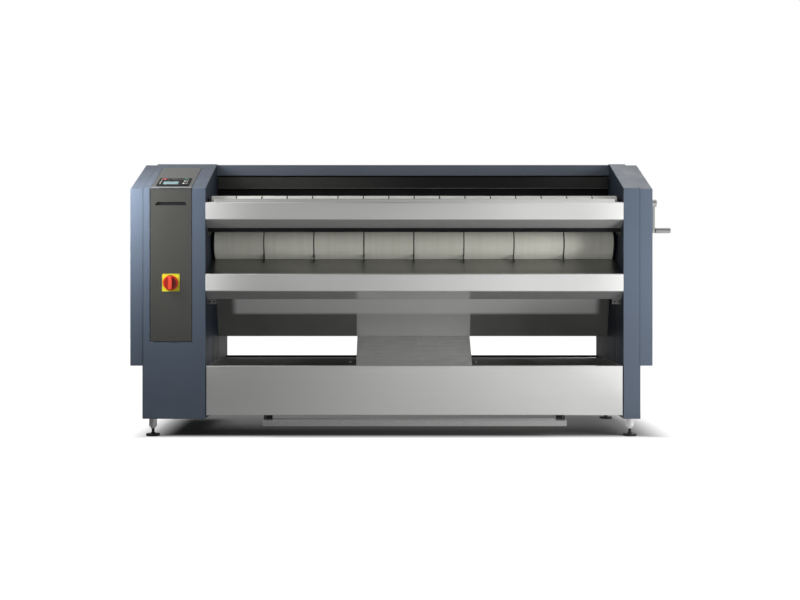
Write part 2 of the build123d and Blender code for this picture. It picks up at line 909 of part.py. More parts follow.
tray_left_x = inner_left_x + tray_end_gap
tray_length = inner_width - 2 * tray_end_gap
tray_middle_height = (tray_top + tray_bottom) / 2
tray_tab_centres = [
    (tray_tab_length, tray_middle_height),
    (tray_depth - tray_tab_length, tray_middle_height),
]

with BuildPart() as linen_tray:
    with BuildSketch(section(tray_left_x)):
        add(
            bent_sheet(
                [
                    (tray_back_flange, tray_top),
                    (0, tray_top),
                    (0, tray_bottom),
                    (tray_depth, tray_bottom),
                    (tray_depth, tray_top),
                    (tray_depth + tray_back_flange, tray_top),
                ],
                shelf_sheet,
                corner_radius,
                Side.LEFT,
            )
        )
    extrude(amount=tray_length)
    with BuildSketch(section(tray_left_x), section(tray_left_x + tray_length - shelf_sheet)):
        with Locations((tray_depth / 2, tray_middle_height)):
            Rectangle(tray_depth - shelf_sheet, tray_top - tray_bottom - shelf_sheet)
    extrude(amount=shelf_sheet)
    with BuildSketch(section(inner_left_x), section(tray_left_x + tray_length)):
        with Locations(*tray_tab_centres):
            Rectangle(tray_tab_length, tray_tab_height)
    extrude(amount=tray_end_gap)
linen_tray.part.label = "linen_tray"
export_step(linen_tray.part, "parts/linen_tray.step")

# ---- feet ----------------------------------------------------------------------------------------

foot_places = [
    (x, depth)
    for x in (left_cabinet_x + foot_inset, right_cabinet_x - foot_inset)
    for depth in (foot_front_depth, foot_rear_depth)
]
foot_rod_top = cabinet_bottom - sheet
foot_nut_bottom = foot_sleeve_bottom - foot_nut_height

with BuildPart() as levelling_feet:
    with BuildSketch(level(0)):
        with Locations(*foot_places):
            Circle(foot_disc_radius)
    extrude(amount=foot_disc_height)
    fillet(levelling_feet.edges().group_by(Axis.Z)[-1], radius=corner_radius)
    with BuildSketch(level(foot_disc_height)):
        with Locations(*foot_places):
            Circle(foot_nut_radius)
    extrude(amount=foot_cone_height, taper=foot_cone_taper)
    with BuildSketch(level(foot_disc_height)):
        with Locations(*foot_places):
            Circle(foot_rod_radius)
    extrude(amount=foot_rod_top - foot_disc_height)
levelling_feet.part.label = "levelling_feet"
export_step(levelling_feet.part, "parts/levelling_feet.step")

# sleeves under the cabinets, with the lock nuts that hold each foot's rod
with BuildPart() as foot_sleeves:
    with BuildSketch(level(foot_sleeve_bottom)):
        with Locations(*foot_places):
            Circle(foot_sleeve_radius)
            Circle(foot_rod_radius + soft_gap, mode=Mode.SUBTRACT)
    extrude(amount=cabinet_bottom - foot_sleeve_bottom)
    with BuildSketch(level(foot_nut_bottom)):
        with Locations(*foot_places):
            RegularPolygon(foot_nut_radius, 6)
            Circle(foot_rod_radius + running_fit, mode=Mode.SUBTRACT)
    extrude(amount=foot_nut_height)
foot_sleeves.part.label = "foot_sleeves"
export_step(foot_sleeves.part, "parts/foot_sleeves.step")

# ---- control slope: fascia, housing, display and keys --------------------------------------------

with BuildPart() as control_fascia:
    with BuildSketch(slope_plane):
        with Locations((door_x, corner_radius + fascia_length / 2)):
            Rectangle(door_width, fascia_length)
        with Locations((bezel_x, bezel_centre)):
            Rectangle(bezel_body_width + 2 * seam, bezel_body_length + 2 * seam, mode=Mode.SUBTRACT)
    extrude(amount=fascia_thickness)
control_fascia.part.label = "control_fascia"
export_step(control_fascia.part, "parts/control_fascia.step")

display_centre = (bezel_x + display_offset, display_start + display_length / 2)
key_column = bezel_x + arrow_key_offset
stop_column = bezel_x - arrow_key_offset
select_offset = arrow_key_offset / 2
oval_key = (oval_key_width, oval_key_length)
select_key = (select_key_width, select_key_length)
arrow_key = (arrow_key_width, arrow_key_length)
keys = [
    ("stop_key", (stop_column, key_row_start), oval_key),
    ("start_key", (key_column, key_row_start), oval_key),
    ("select_key_left", (bezel_x - select_offset, key_row_start), select_key),
    ("select_key_right", (bezel_x + select_offset, key_row_start), select_key),
    ("up_key", (key_column, arrow_up_start), arrow_key),
    ("down_key", (key_column, arrow_down_start), arrow_key),
]
slope_axis = Axis((0, 0, 0), slope_plane.z_dir)
bezel_base = slope_plane.offset(fascia_thickness)
bezel_top = slope_plane.offset(fascia_thickness + bezel_height)

with BuildPart() as control_housing:
    with BuildSketch(bezel_base):
        with Locations((bezel_x, bezel_centre)):
            RectangleRounded(bezel_width, bezel_length, 2 * corner_radius)
    extrude(amount=bezel_height)
    fillet(control_housing.faces().sort_by(slope_axis)[-1].edges(), radius=bezel_edge)
    with BuildSketch(bezel_base):
        with Locations((bezel_x, bezel_centre)):
            Rectangle(bezel_body_width, bezel_body_length)
    extrude(amount=-bezel_body_depth)
    with BuildSketch(bezel_top):
        with Locations(display_centre):
            Rectangle(display_width, display_length)
    extrude(amount=-lens_thickness, mode=Mode.SUBTRACT)
    for name, place, (width, length) in keys:
        with BuildSketch(bezel_top):
            with Locations(place):
                RectangleRounded(width + 2 * key_fit, length + 2 * key_fit, length * key_rounding)
        extrude(amount=-key_pocket, mode=Mode.SUBTRACT)
control_housing.part.label = "control_housing"
export_step(control_housing.part, "parts/control_housing.step")

with BuildPart() as display_lens:
    with BuildSketch(bezel_top.offset(-lens_thickness)):
        with Locations(display_centre):
            Rectangle(display_width - 2 * key_fit, display_length - 2 * key_fit)
    extrude(amount=lens_thickness)
display_lens.part.label = "display_lens"
export_step(display_lens.part, "parts/display_lens.step")

for name, place, (width, length) in keys:
    with BuildPart() as key:
        with BuildSketch(bezel_top.offset(key_travel + key_floor_gap - key_pocket)):
            with Locations(place):
                RectangleRounded(width, length, length * key_rounding)
        extrude(amount=key_pocket)
    key.part.label = name
    export_step(key.part, f"parts/{name}.step")

# ---- service door, its pull cup and hinge pins ---------------------------------------------------

door_pin_x = door_left_x + door_pin_inset
door_flange_height = door_top - door_top_flange_drop
door_edge_x = door_left_x + door_width
pull_top = door_top - pull_top_drop
pull_centre_height = pull_top - pull_height / 2
pull_left_x = door_x - pull_width / 2
pull_right_x = door_x + pull_width / 2
switch_centre = (door_x, switch_height)

with BuildPart() as service_door:
    with BuildSketch(facing(sheet)):
        with Locations((door_x, door_centre_height)):
            Rectangle(door_width, door_height)
        with BuildLine():
            Polyline(
                (pull_left_x + pull_taper, pull_top),
                (pull_right_x - pull_taper, pull_top),
                (pull_right_x, pull_top - pull_height),
                (pull_left_x, pull_top - pull_height),
                close=True,
            )
        make_face(mode=Mode.SUBTRACT)
        with Locations(switch_centre):
            Circle(knob_shaft_radius + knob_clearance, mode=Mode.SUBTRACT)
    extrude(amount=sheet)
    with BuildSketch(level(door_bottom), level(door_flange_height)):
        with Locations((door_x, sheet + door_flange / 2)):
            Rectangle(door_width, door_flange)
        with Locations((door_pin_x, door_pin_depth)):
            Circle(door_pin_radius + running_fit, mode=Mode.SUBTRACT)
    extrude(amount=cover_sheet)
    with BuildSketch(section(door_edge_x - cover_sheet)):
        with Locations((sheet + door_flange / 2, (door_bottom + door_flange_height) / 2)):
            Rectangle(door_flange, door_flange_height - door_bottom)
    extrude(amount=cover_sheet)
service_door.part.label = "service_door"
export_step(service_door.part, "parts/service_door.step")

pull_margin = 3 * pull_cup_wall

with BuildPart() as door_pull_cup:
    with BuildSketch(facing(sheet + pull_cup_depth)):
        with Locations((door_x, pull_centre_height)):
            Rectangle(pull_width + 2 * pull_margin, pull_height + 2 * pull_margin)
    extrude(amount=pull_cup_depth)
    with BuildSketch(facing(sheet + pull_cup_depth - pull_cup_wall)):
        with Locations((door_x, pull_centre_height)):
            Rectangle(pull_width + pull_cup_wall, pull_height + pull_cup_wall)
    extrude(amount=pull_cup_depth, mode=Mode.SUBTRACT)
door_pull_cup.part.label = "door_pull_cup"
export_step(door_pull_cup.part, "parts/door_pull_cup.step")

guard_pin_depth = hood_depth + guard_pin_setback
guard_pin_length = guard_end_gap + guard_eye_width
door_pin_plate_left = door_left_x - door_gap - door_flange
door_pin_plate_width = door_pin_x + 2 * door_pin_radius - door_pin_plate_left
door_pin_plate_depth = door_flange - 2 * sheet

# the door's pins on their fixing plates, and the finger guard's pins on the side frames
with BuildPart() as hinge_pins:
    with BuildSketch(level(door_bottom - door_gap), level(door_top + seam)):
        with Locations((door_pin_plate_left, sheet)):
            Rectangle(door_pin_plate_width, door_pin_plate_depth, align=(Align.MIN, Align.MIN))
    extrude(amount=door_gap - 3 * seam)
    with BuildSketch(level(door_bottom - door_gap)):
        with Locations((door_pin_x, door_pin_depth)):
            Circle(door_pin_radius)
    extrude(amount=door_flange)
    with BuildSketch(level(door_flange_height - door_pin_radius)):
        with Locations((door_pin_x, door_pin_depth)):
            Circle(door_pin_radius)
    extrude(amount=door_top_flange_drop + door_pin_radius + seam)
    with BuildSketch(section(inner_left_x), section(inner_right_x - guard_pin_length)):
        with Locations((guard_pin_depth, guard_pin_height)):
            Circle(guard_pin_radius)
    extrude(amount=guard_pin_length)
hinge_pins.part.label = "hinge_pins"
export_step(hinge_pins.part, "parts/hinge_pins.step")

# ---- main switch: plate and body on the door, turning knob ---------------------------------------

with BuildPart() as main_switch:
    with BuildSketch(facing(0)):
        with Locations(switch_centre):
            RectangleRounded(switch_plate_size, switch_plate_size, 2 * corner_radius)
            Circle(knob_shaft_radius + knob_clearance, mode=Mode.SUBTRACT)
    extrude(amount=switch_plate_thickness)
    with BuildSketch(facing(sheet)):
        with Locations(switch_centre):
            Rectangle(switch_body_size, switch_body_size)
            Circle(knob_shaft_radius + running_fit, mode=Mode.SUBTRACT)
    extrude(amount=-switch_body_depth)
main_switch.part.label = "main_switch"
export_step(main_switch.part, "parts/main_switch.step")

knob_back = facing(-switch_plate_thickness - knob_clearance)

with BuildPart() as main_switch_knob:
    with BuildSketch(knob_back):
        with Locations(switch_centre):
            Circle(knob_radius)
    extrude(amount=knob_base_height)
    fillet(main_switch_knob.edges().group_by(Axis.Y)[0], radius=corner_radius)
    with BuildSketch(knob_back):
        with Locations(switch_centre):
            SlotOverall(knob_grip_length, knob_grip_width, rotation=90)
    extrude(amount=knob_base_height + knob_grip_height)
    fillet(main_switch_knob.edges().group_by(Axis.Y)[0], radius=corner_radius)
    with BuildSketch(knob_back):
        with Locations(switch_centre):
            Circle(knob_shaft_radius)
    extrude(amount=-knob_shaft_length)
main_switch_knob.part.label = "main_switch_knob"
export_step(main_switch_knob.part, "parts/main_switch_knob.step")

# ---- finger guard, hung on two pins under the hood -----------------------------------------------

guard_left_x = inner_left_x + guard_end_gap
guard_length = inner_width - 2 * guard_end_gap
guard_eye_places = [guard_left_x, guard_left_x + guard_length - guard_eye_width]

with BuildPart() as finger_guard:
    with BuildSketch(section(guard_left_x)):
        with Locations((hood_depth, guard_bottom)):
            Rectangle(guard_thickness, guard_top - guard_bottom, align=(Align.MIN, Align.MIN))
            Rectangle(guard_thickness + guard_edge_depth, guard_edge_height, align=(Align.MIN, Align.MIN))
    extrude(amount=guard_length)
    fillet(finger_guard.edges().filter_by(Axis.X).group_by(Axis.Y)[0], radius=bezel_edge)
    with BuildSketch(*[section(x) for x in guard_eye_places]):
        with Locations((guard_pin_depth, guard_pin_height)):
            Circle(guard_eye_radius)
            Circle(guard_pin_radius + running_fit, mode=Mode.SUBTRACT)
    extrude(amount=guard_eye_width)
finger_guard.part.label = "finger_guard"
export_step(finger_guard.part, "parts/finger_guard.step")

# ---- pedal bar, its pivots under the tray and its return springs ---------------------------------

pedal_left_x = inner_centre_x - pedal_length / 2
pedal_right_x = inner_centre_x + pedal_length / 2
pedal_pivot = (pedal_pivot_depth, pedal_pivot_height)
pedal_arm_bottom = pedal_top - pedal_lip_height + pedal_sheet

with BuildPart() as pedal_bar:
    with BuildSketch(section(pedal_left_x)):
        add(
            bent_sheet(
                [
                    (pedal_back_depth, pedal_top),
                    (-pedal_reach, pedal_top),
                    (-pedal_reach, pedal_top - pedal_lip_height),
                    (-pedal_reach + pedal_eye_radius, pedal_top - pedal_lip_height),
                ],
                pedal_sheet,
                pedal_sheet,
                Side.LEFT,
            )
        )
    extrude(amount=pedal_length)
    with BuildSketch(section(pedal_left_x), section(pedal_right_x - pedal_arm_width)):
        with BuildLine():
            Polyline(
                (-pedal_reach + pedal_sheet / 2, pedal_arm_bottom),
                (-pedal_reach + pedal_sheet / 2, pedal_top - pedal_sheet / 2),
                (pedal_back_depth, pedal_top - pedal_sheet / 2),
                (pedal_pivot_depth, pedal_pivot_height + pedal_eye_radius),
                (pedal_pivot_depth, pedal_pivot_height - pedal_eye_radius),
                (0, pedal_arm_bottom),
                close=True,
            )
        make_face()
        with Locations(pedal_pivot):
            Circle(pedal_eye_radius)
            Circle(pedal_pin_radius + running_fit, mode=Mode.SUBTRACT)
    extrude(amount=pedal_arm_width)
pedal_bar.part.label = "pedal_bar"
export_step(pedal_bar.part, "parts/pedal_bar.step")

pedal_bracket_left_x = pedal_left_x - soft_gap - pedal_bracket_width
pedal_bracket_right_x = pedal_right_x + soft_gap
pedal_pin_length = pedal_bracket_width + soft_gap + pedal_arm_width + soft_gap + pedal_spring_length
pedal_pin_right_x = pedal_bracket_right_x + pedal_bracket_width - pedal_pin_length

pedal_spring_places = [
    pedal_left_x + pedal_arm_width + soft_gap,
    pedal_right_x - pedal_arm_width - soft_gap - pedal_spring_length,
]

# brackets with their pins under the tray, and the spring sleeves on the pins
with BuildPart() as pedal_pivots:
    with BuildSketch(section(pedal_bracket_left_x), section(pedal_bracket_right_x)):
        with Locations((pedal_pivot_depth, tray_bottom)):
            Rectangle(
                pedal_bracket_depth,
                tray_bottom - pedal_pivot_height + pedal_eye_radius,
                align=(Align.CENTER, Align.MAX),
            )
    extrude(amount=pedal_bracket_width)
    with BuildSketch(section(pedal_bracket_left_x), section(pedal_pin_right_x)):
        with Locations(pedal_pivot):
            Circle(pedal_pin_radius)
    extrude(amount=pedal_pin_length)
    with BuildSketch(*[section(x) for x in pedal_spring_places]):
        with Locations(pedal_pivot):
            Circle(pedal_eye_radius)
            Circle(pedal_pin_radius + soft_gap, mode=Mode.SUBTRACT)
    extrude(amount=pedal_spring_length)
pedal_pivots.part.label = "pedal_pivots"
export_step(pedal_pivots.part, "parts/pedal_pivots.step")

# ---- heated cylinder: hollow, with end discs and hollow journals ---------------------------------

cylinder_left_x = inner_left_x + cylinder_end_gap
cylinder_right_x = inner_right_x - cylinder_end_gap
left_pulley_x = left_frame_outer_x - cylinder_bearing_length - pulley_gap - pulley_width
right_pulley_x = right_frame_outer_x + cylinder_bearing_length + pulley_gap
left_journal_x = left_pulley_x - journal_end
right_journal_x = right_pulley_x + feed_drive_width + journal_end

with BuildPart() as heated_cylinder:
    with BuildSketch(section(cylinder_left_x)):
        with Locations(cylinder_centre):
            Circle(cylinder_radius)
            Circle(cylinder_radius - cylinder_wall, mode=Mode.SUBTRACT)
    extrude(amount=cylinder_right_x - cylinder_left_x)
    with BuildSketch(section(cylinder_left_x), section(cylinder_right_x - end_disc_thickness)):
        with Locations(cylinder_centre):
            Circle(cylinder_radius - cylinder_wall / 2)
    extrude(amount=end_disc_thickness)
    with BuildSketch(section(left_journal_x)):
        with Locations(cylinder_centre):
            Circle(journal_radius)
    extrude(amount=cylinder_left_x - left_journal_x)
    with BuildSketch(section(cylinder_right_x)):
        with Locations(cylinder_centre):
            Circle(journal_radius)
    extrude(amount=right_journal_x - cylinder_right_x)
    with BuildSketch(section(left_journal_x)):
        with Locations(cylinder_centre):
            Circle(journal_bore_radius)
    extrude(amount=right_journal_x - left_journal_x, mode=Mode.SUBTRACT)
heated_cylinder.part.label = "heated_cylinder"
export_step(heated_cylinder.part, "parts/heated_cylinder.step")

# ---- pulleys -------------------------------------------------------------------------------------

feed_belt_line = soft_gap + feed_belt_thickness / 2
feed_drive_line = soft_gap + feed_drive_thickness / 2
feed_ratio = (cylinder_radius + belt_line) / (feed_roller_radius + feed_belt_line)
cylinder_feed_pulley_radius = (feed_pulley_radius + feed_drive_line) * feed_ratio - feed_drive_line
motor_centre = (cylinder_depth, motor_height)
journal_seat = journal_radius + running_fit


def pulley_web(radius):
    """Disc of a pulley on the cylinder's journal, with a ring of lightening holes."""
    with BuildSketch() as web:
        with Locations(cylinder_centre):
            Circle(radius)
            Circle(journal_seat, mode=Mode.SUBTRACT)
            with PolarLocations((radius + journal_seat) / 2, pulley_web_holes):
                Circle(pulley_hole_radius, mode=Mode.SUBTRACT)
    return web.sketch


def pulley_rim(radius):
    """Side rim of a pulley on the cylinder's journal, which keeps the belt on."""
    with BuildSketch() as rim:
        with Locations(cylinder_centre):
            Circle(radius + pulley_rim_height)
            Circle(radius - pulley_rim_height, mode=Mode.SUBTRACT)
    return rim.sketch


with BuildPart() as cylinder_pulleys:
    with BuildSketch(section(left_pulley_x)):
        add(pulley_web(drum_pulley_radius))
    extrude(amount=pulley_width)
    with BuildSketch(section(left_pulley_x), section(left_pulley_x + pulley_width - pulley_rim_thickness)):
        add(pulley_rim(drum_pulley_radius))
    extrude(amount=pulley_rim_thickness)
    with BuildSketch(section(right_pulley_x)):
        add(pulley_web(cylinder_feed_pulley_radius))
    extrude(amount=feed_drive_width)
    right_rim_x = right_pulley_x + feed_drive_width - pulley_rim_thickness
    with BuildSketch(section(right_pulley_x), section(right_rim_x)):
        add(pulley_rim(cylinder_feed_pulley_radius))
    extrude(amount=pulley_rim_thickness)
cylinder_pulleys.part.label = "cylinder_pulleys"
export_step(cylinder_pulleys.part, "parts/cylinder_pulleys.step")

motor_face_x = left_pulley_x - motor_gap

with BuildPart() as motor_pulley:
    with BuildSketch(section(left_pulley_x)):
        with Locations(motor_centre):
            Circle(motor_pulley_radius)
    extrude(amount=pulley_width)
    with BuildSketch(section(left_pulley_x), section(left_pulley_x + pulley_width - pulley_rim_thickness)):
        with Locations(motor_centre):
            Circle(motor_pulley_radius + pulley_rim_height)
    extrude(amount=pulley_rim_thickness)
    with BuildSketch(section(motor_face_x - motor_shaft_depth)):
        with Locations(motor_centre):
            Circle(motor_shaft_radius)
    extrude(amount=motor_shaft_depth + motor_gap)
motor_pulley.part.label = "motor_pulley"
export_step(motor_pulley.part, "parts/motor_pulley.step")

motor_base_height = motor_height - motor_radius / 2 - cabinet_bottom - sheet

with BuildPart() as drive_motor:
    with BuildSketch(section(motor_face_x - motor_length)):
        with Locations(motor_centre):
            Circle(motor_radius)
    extrude(amount=motor_length)
    with BuildSketch(level(cabinet_bottom + sheet)):
        with Locations((motor_face_x - motor_length / 2, cylinder_depth)):
            Rectangle(motor_length, motor_base_width)
    extrude(amount=motor_base_height)
    with BuildSketch(level(motor_height)):
        with Locations((motor_face_x - motor_length / 2, cylinder_depth)):
            Rectangle(motor_length / 2, motor_radius)
    extrude(amount=motor_box_height)
    with BuildSketch(section(motor_face_x)):
        with Locations(motor_centre):
            Circle(motor_shaft_radius + running_fit)
    extrude(amount=-motor_shaft_depth - seam, mode=Mode.SUBTRACT)
drive_motor.part.label = "drive_motor"
export_step(drive_motor.part, "parts/drive_motor.step")

drive_belt_width = pulley_width - 2 * (pulley_rim_thickness + belt_side_gap)
feed_drive_belt_width = feed_drive_width - 2 * (pulley_rim_thickness + belt_side_gap)

with BuildPart() as drive_belts:
    with BuildSketch(section(left_pulley_x + (pulley_width - drive_belt_width) / 2)):
        drive_wheels = [(cylinder_centre, drum_pulley_radius, 1), (motor_centre, motor_pulley_radius, 1)]
        add(belt_section(drive_wheels, drive_belt_thickness))
    extrude(amount=drive_belt_width)
    with BuildSketch(section(right_pulley_x + (feed_drive_width - feed_drive_belt_width) / 2)):
        feed_wheels = [
            (cylinder_centre, cylinder_feed_pulley_radius, 1),
            (feed_front_centre, feed_pulley_radius, 1),
        ]
        add(belt_section(feed_wheels, feed_drive_thickness))
    extrude(amount=feed_drive_belt_width)
drive_belts.part.label = "drive_belts"
export_step(drive_belts.part, "parts/drive_belts.step")

# ---- rollers: hollow tubes with end discs and shaft ends -----------------------------------------

roller_left_x = inner_left_x + roller_end_gap
roller_right_x = inner_right_x - roller_end_gap
shaft_reach = roller_end_gap + frame_thickness + bearing_length + shaft_stub
crank_shaft_end_x = right_cover_x + crank_hub_gap + crank_shaft_depth
plain_shaft_end_x = roller_right_x + shaft_reach
rollers = [
    ("exit_roller", exit_roller_centre, exit_roller_radius, roller_shaft_radius),
    ("bottom_roller", bottom_roller_centre, bottom_roller_radius, roller_shaft_radius),
    ("rear_lower_roller", rear_lower_roller_centre, rear_lower_roller_radius, roller_shaft_radius),
    ("rear_upper_roller", rear_upper_roller_centre, rear_upper_roller_radius, roller_shaft_radius),
    ("entry_roller", entry_roller_centre, entry_roller_radius, roller_shaft_radius),
    ("feed_roller_rear", feed_rear_centre, feed_roller_radius, feed_shaft_radius),
    ("feed_roller_front", feed_front_centre, feed_roller_radius, feed_shaft_radius),
]

for name, centre, radius, shaft_radius in rollers:
    reaches_crank = name == "feed_roller_front"
    shaft_end_x = crank_shaft_end_x if reaches_crank else plain_shaft_end_x
    with BuildPart() as roller:
        with BuildSketch(section(roller_left_x)):
            with Locations(centre):
                Circle(radius)
                Circle(radius - roller_wall, mode=Mode.SUBTRACT)
        extrude(amount=roller_right_x - roller_left_x)
        with BuildSketch(section(roller_left_x), section(roller_right_x - roller_end_disc)):
            with Locations(centre):
                Circle(radius - roller_wall / 2)
        extrude(amount=roller_end_disc)
        with BuildSketch(section(roller_left_x - shaft_reach)):
            with Locations(centre):
                Circle(shaft_radius)
        extrude(amount=shaft_reach)
        with BuildSketch(section(roller_right_x)):
            with Locations(centre):
                Circle(shaft_radius)
        extrude(amount=shaft_end_x - roller_right_x)
        if reaches_crank:
            with BuildSketch(section(right_pulley_x)):
                with Locations(centre):
                    Circle(feed_pulley_radius)
            extrude(amount=feed_drive_width)
            with BuildSketch(section(right_pulley_x), section(right_rim_x)):
                with Locations(centre):
                    Circle(feed_pulley_radius + pulley_rim_height)
            extrude(amount=pulley_rim_thickness)
    roller.part.label = name
    export_step(roller.part, f"parts/{name}.step")

# ---- bearings on the outer faces of the side frames ----------------------------------------------

with BuildPart() as shaft_bearings:
    with BuildSketch(section(left_frame_outer_x - bearing_length), section(right_frame_outer_x)):
        with Locations(*ironing_roller_centres):
            Circle(bearing_radius)
            Circle(roller_shaft_radius + running_fit, mode=Mode.SUBTRACT)
        with Locations(feed_front_centre, feed_rear_centre):
            Circle(feed_bearing_radius)
            Circle(feed_shaft_radius + running_fit, mode=Mode.SUBTRACT)
    extrude(amount=bearing_length)
    with BuildSketch(section(left_frame_outer_x - cylinder_bearing_length), section(right_frame_outer_x)):
        with Locations(cylinder_centre):
            Circle(cylinder_bearing_radius)
            Circle(journal_radius + journal_clearance, mode=Mode.SUBTRACT)
    extrude(amount=cylinder_bearing_length)
shaft_bearings.part.label = "shaft_bearings"
export_step(shaft_bearings.part, "parts/shaft_bearings.step")

# ---- ironing belts and feed belts ----------------------------------------------------------------

ironing_wheels = [
    (exit_roller_centre, exit_roller_radius, 1),
    (bottom_roller_centre, bottom_roller_radius, 1),
    (rear_lower_roller_centre, rear_lower_roller_radius, 1),
    (rear_upper_roller_centre, rear_upper_roller_radius, 1),
    (entry_roller_centre, entry_roller_radius, 1),
    (cylinder_centre, cylinder_radius + 2 * soft_gap + ironing_belt_thickness, -1),
]
feed_belt_wheels = [(feed_front_centre, feed_roller_radius, 1), (feed_rear_centre, feed_roller_radius, 1)]
ironing_belt_width = ironing_belt_pitch - ironing_belt_gap
feed_belt_width = feed_belt_pitch - feed_belt_gap
ironing_belt_start = inner_centre_x - ironing_belt_count * ironing_belt_pitch / 2 + ironing_belt_gap / 2
feed_belt_start = inner_centre_x - feed_belt_count * feed_belt_pitch / 2 + feed_belt_gap / 2
ironing_belt_places = [ironing_belt_start + n * ironing_belt_pitch for n in range(ironing_belt_count)]
feed_belt_places = [feed_belt_start + n * feed_belt_pitch for n in range(feed_belt_count)]

with BuildPart() as ironing_belts:
    with BuildSketch(*[section(x) for x in ironing_belt_places]):
        add(belt_section(ironing_wheels, ironing_belt_thickness))
    extrude(amount=ironing_belt_width)
ironing_belts.part.label = "ironing_belts"
export_step(ironing_belts.part, "parts/ironing_belts.step")

with BuildPart() as feed_belts:
    with BuildSketch(*[section(x) for x in feed_belt_places]):
        add(belt_section(feed_belt_wheels, feed_belt_thickness))
    extrude(amount=feed_belt_width)
feed_belts.part.label = "feed_belts"
export_step(feed_belts.part, "parts/feed_belts.step")

feed_bed_top = feed_roller_height + feed_roller_radius
feed_bed_front = feed_front_depth + feed_roller_radius + feed_bed_margin
feed_bed_back = feed_rear_depth - feed_roller_radius - feed_bed_margin

with BuildPart() as feed_bed:
    with BuildSketch(section(inner_left_x)):
        add(
            bent_sheet(
                [
                    (feed_bed_front, feed_bed_top - feed_bed_flange),
                    (feed_bed_front, feed_bed_top),
                    (feed_bed_back, feed_bed_top),
                    (feed_bed_back, feed_bed_top - feed_bed_flange),
                ],
                feed_bed_thickness,
                corner_radius,
                Side.RIGHT,
            )
        )
    extrude(amount=inner_width)
feed_bed.part.label = "feed_bed"
export_step(feed_bed.part, "parts/feed_bed.step")

# ---- hand crank ----------------------------------------------------------------------------------

hub_x = right_cover_x + crank_hub_gap
arm_x = right_cover_x + crank_arm_offset
arm_outer_x = arm_x + crank_arm_thickness
grip_x = arm_outer_x + crank_hub_gap / 2
grip_pin_length = crank_grip_length - 2 * crank_hub_gap
grip_centre = (feed_front_depth, feed_roller_height - crank_radius)

with BuildPart() as crank_arm:
    with BuildSketch(section(hub_x)):
        with Locations(feed_front_centre):
            Circle(crank_hub_radius)
    extrude(amount=crank_hub_length)
    fillet(crank_arm.edges().group_by(Axis.X)[-1], radius=corner_radius)
    with BuildSketch(section(arm_x)):
        with Locations((feed_front_depth, feed_roller_height - crank_radius / 2)):
            SlotCenterToCenter(crank_radius, crank_arm_width, rotation=90)
    extrude(amount=crank_arm_thickness)
    with BuildSketch(section(hub_x)):
        with Locations(feed_front_centre):
            Circle(feed_shaft_radius + running_fit)
    extrude(amount=crank_shaft_depth + seam, mode=Mode.SUBTRACT)
    with BuildSketch(section(arm_outer_x)):
        with Locations(grip_centre):
            Circle(crank_pin_radius)
    extrude(amount=grip_pin_length)
crank_arm.part.label = "crank_arm"
export_step(crank_arm.part, "parts/crank_arm.step")

grip_length = right_cover_x + crank_reach - grip_x

with BuildPart() as crank_grip:
    with BuildSketch(section(grip_x)):
        with Locations(grip_centre):
            Circle(crank_grip_radius)
    extrude(amount=grip_length)
    fillet(crank_grip.edges().filter_by(GeomType.CIRCLE), radius=2 * corner_radius)
    with BuildSketch(section(grip_x)):
        with Locations(grip_centre):
            Circle(crank_pin_radius + running_fit)
    extrude(amount=grip_pin_length, mode=Mode.SUBTRACT)
crank_grip.part.label = "crank_grip"
export_step(crank_grip.part, "parts/crank_grip.step")

# ---- heater bundle: carried by plates outside the journals, still while the cylinder turns -------

heater_left_x = left_journal_x - journal_end - heater_plate_thickness
heater_right_x = right_journal_x + journal_end + heater_plate_thickness
heater_disc_places = [
    inner_centre_x + side * heater_disc_spacing - heater_disc_thickness / 2 for side in (-1, 0, 1)
]
heater_plate_height = 2 * (heater_post_spacing + 2 * heater_post_radius)
left_post_length = left_frame_outer_x - heater_left_x
right_post_length = heater_right_x - right_frame_outer_x

with BuildPart() as heater_support:
    with BuildSketch(section(heater_left_x), section(heater_right_x - heater_plate_thickness)):
        with Locations(cylinder_centre):
            Rectangle(heater_plate_width, heater_plate_height)
    extrude(amount=heater_plate_thickness)
    with BuildSketch(*[section(x) for x in heater_disc_places]):
        with Locations(cylinder_centre):
            Circle(heater_disc_radius)
            with PolarLocations(heater_circle_radius, heater_rod_count):
                Circle(heater_rod_radius + soft_gap, mode=Mode.SUBTRACT)
    extrude(amount=heater_disc_thickness)
    with BuildSketch(section(heater_left_x)):
        with Locations(cylinder_centre):
            Circle(heater_tube_radius)
    extrude(amount=heater_right_x - heater_left_x)
    with BuildSketch(section(heater_left_x)):
        with Locations(cylinder_centre):
            Circle(heater_tube_radius - heater_tube_wall)
    extrude(amount=heater_right_x - heater_left_x, mode=Mode.SUBTRACT)
    with BuildSketch(section(heater_left_x)):
        with Locations(cylinder_centre):
            with GridLocations(0, 2 * heater_post_spacing, 1, 2):
                Circle(heater_post_radius)
    extrude(amount=left_post_length)
    with BuildSketch(section(right_frame_outer_x)):
        with Locations(cylinder_centre):
            with GridLocations(0, 2 * heater_post_spacing, 1, 2):
                Circle(heater_post_radius)
    extrude(amount=right_post_length)
heater_support.part.label = "heater_support"
export_step(heater_support.part, "parts/heater_support.step")

with BuildPart() as heating_elements:
    with BuildSketch(section(inner_centre_x - heater_rod_length / 2)):
        with Locations(cylinder_centre):
            with PolarLocations(heater_circle_radius, heater_rod_count):
                Circle(heater_rod_radius)
    extrude(amount=heater_rod_length)
heating_elements.part.label = "heating_elements"
export_step(heating_elements.part, "parts/heating_elements.step")

# ---- electrical plate with contactors, on the left cabinet's outer wall --------------------------

plate_x = left_cabinet_x + sheet + electrical_standoff
plate_centre = (
    electrical_plate_start + electrical_plate_length / 2,
    electrical_plate_bottom + electrical_plate_height / 2,
)
post_pitch_along = electrical_plate_length - 2 * electrical_post_inset
post_pitch_up = electrical_plate_height - 2 * electrical_post_inset

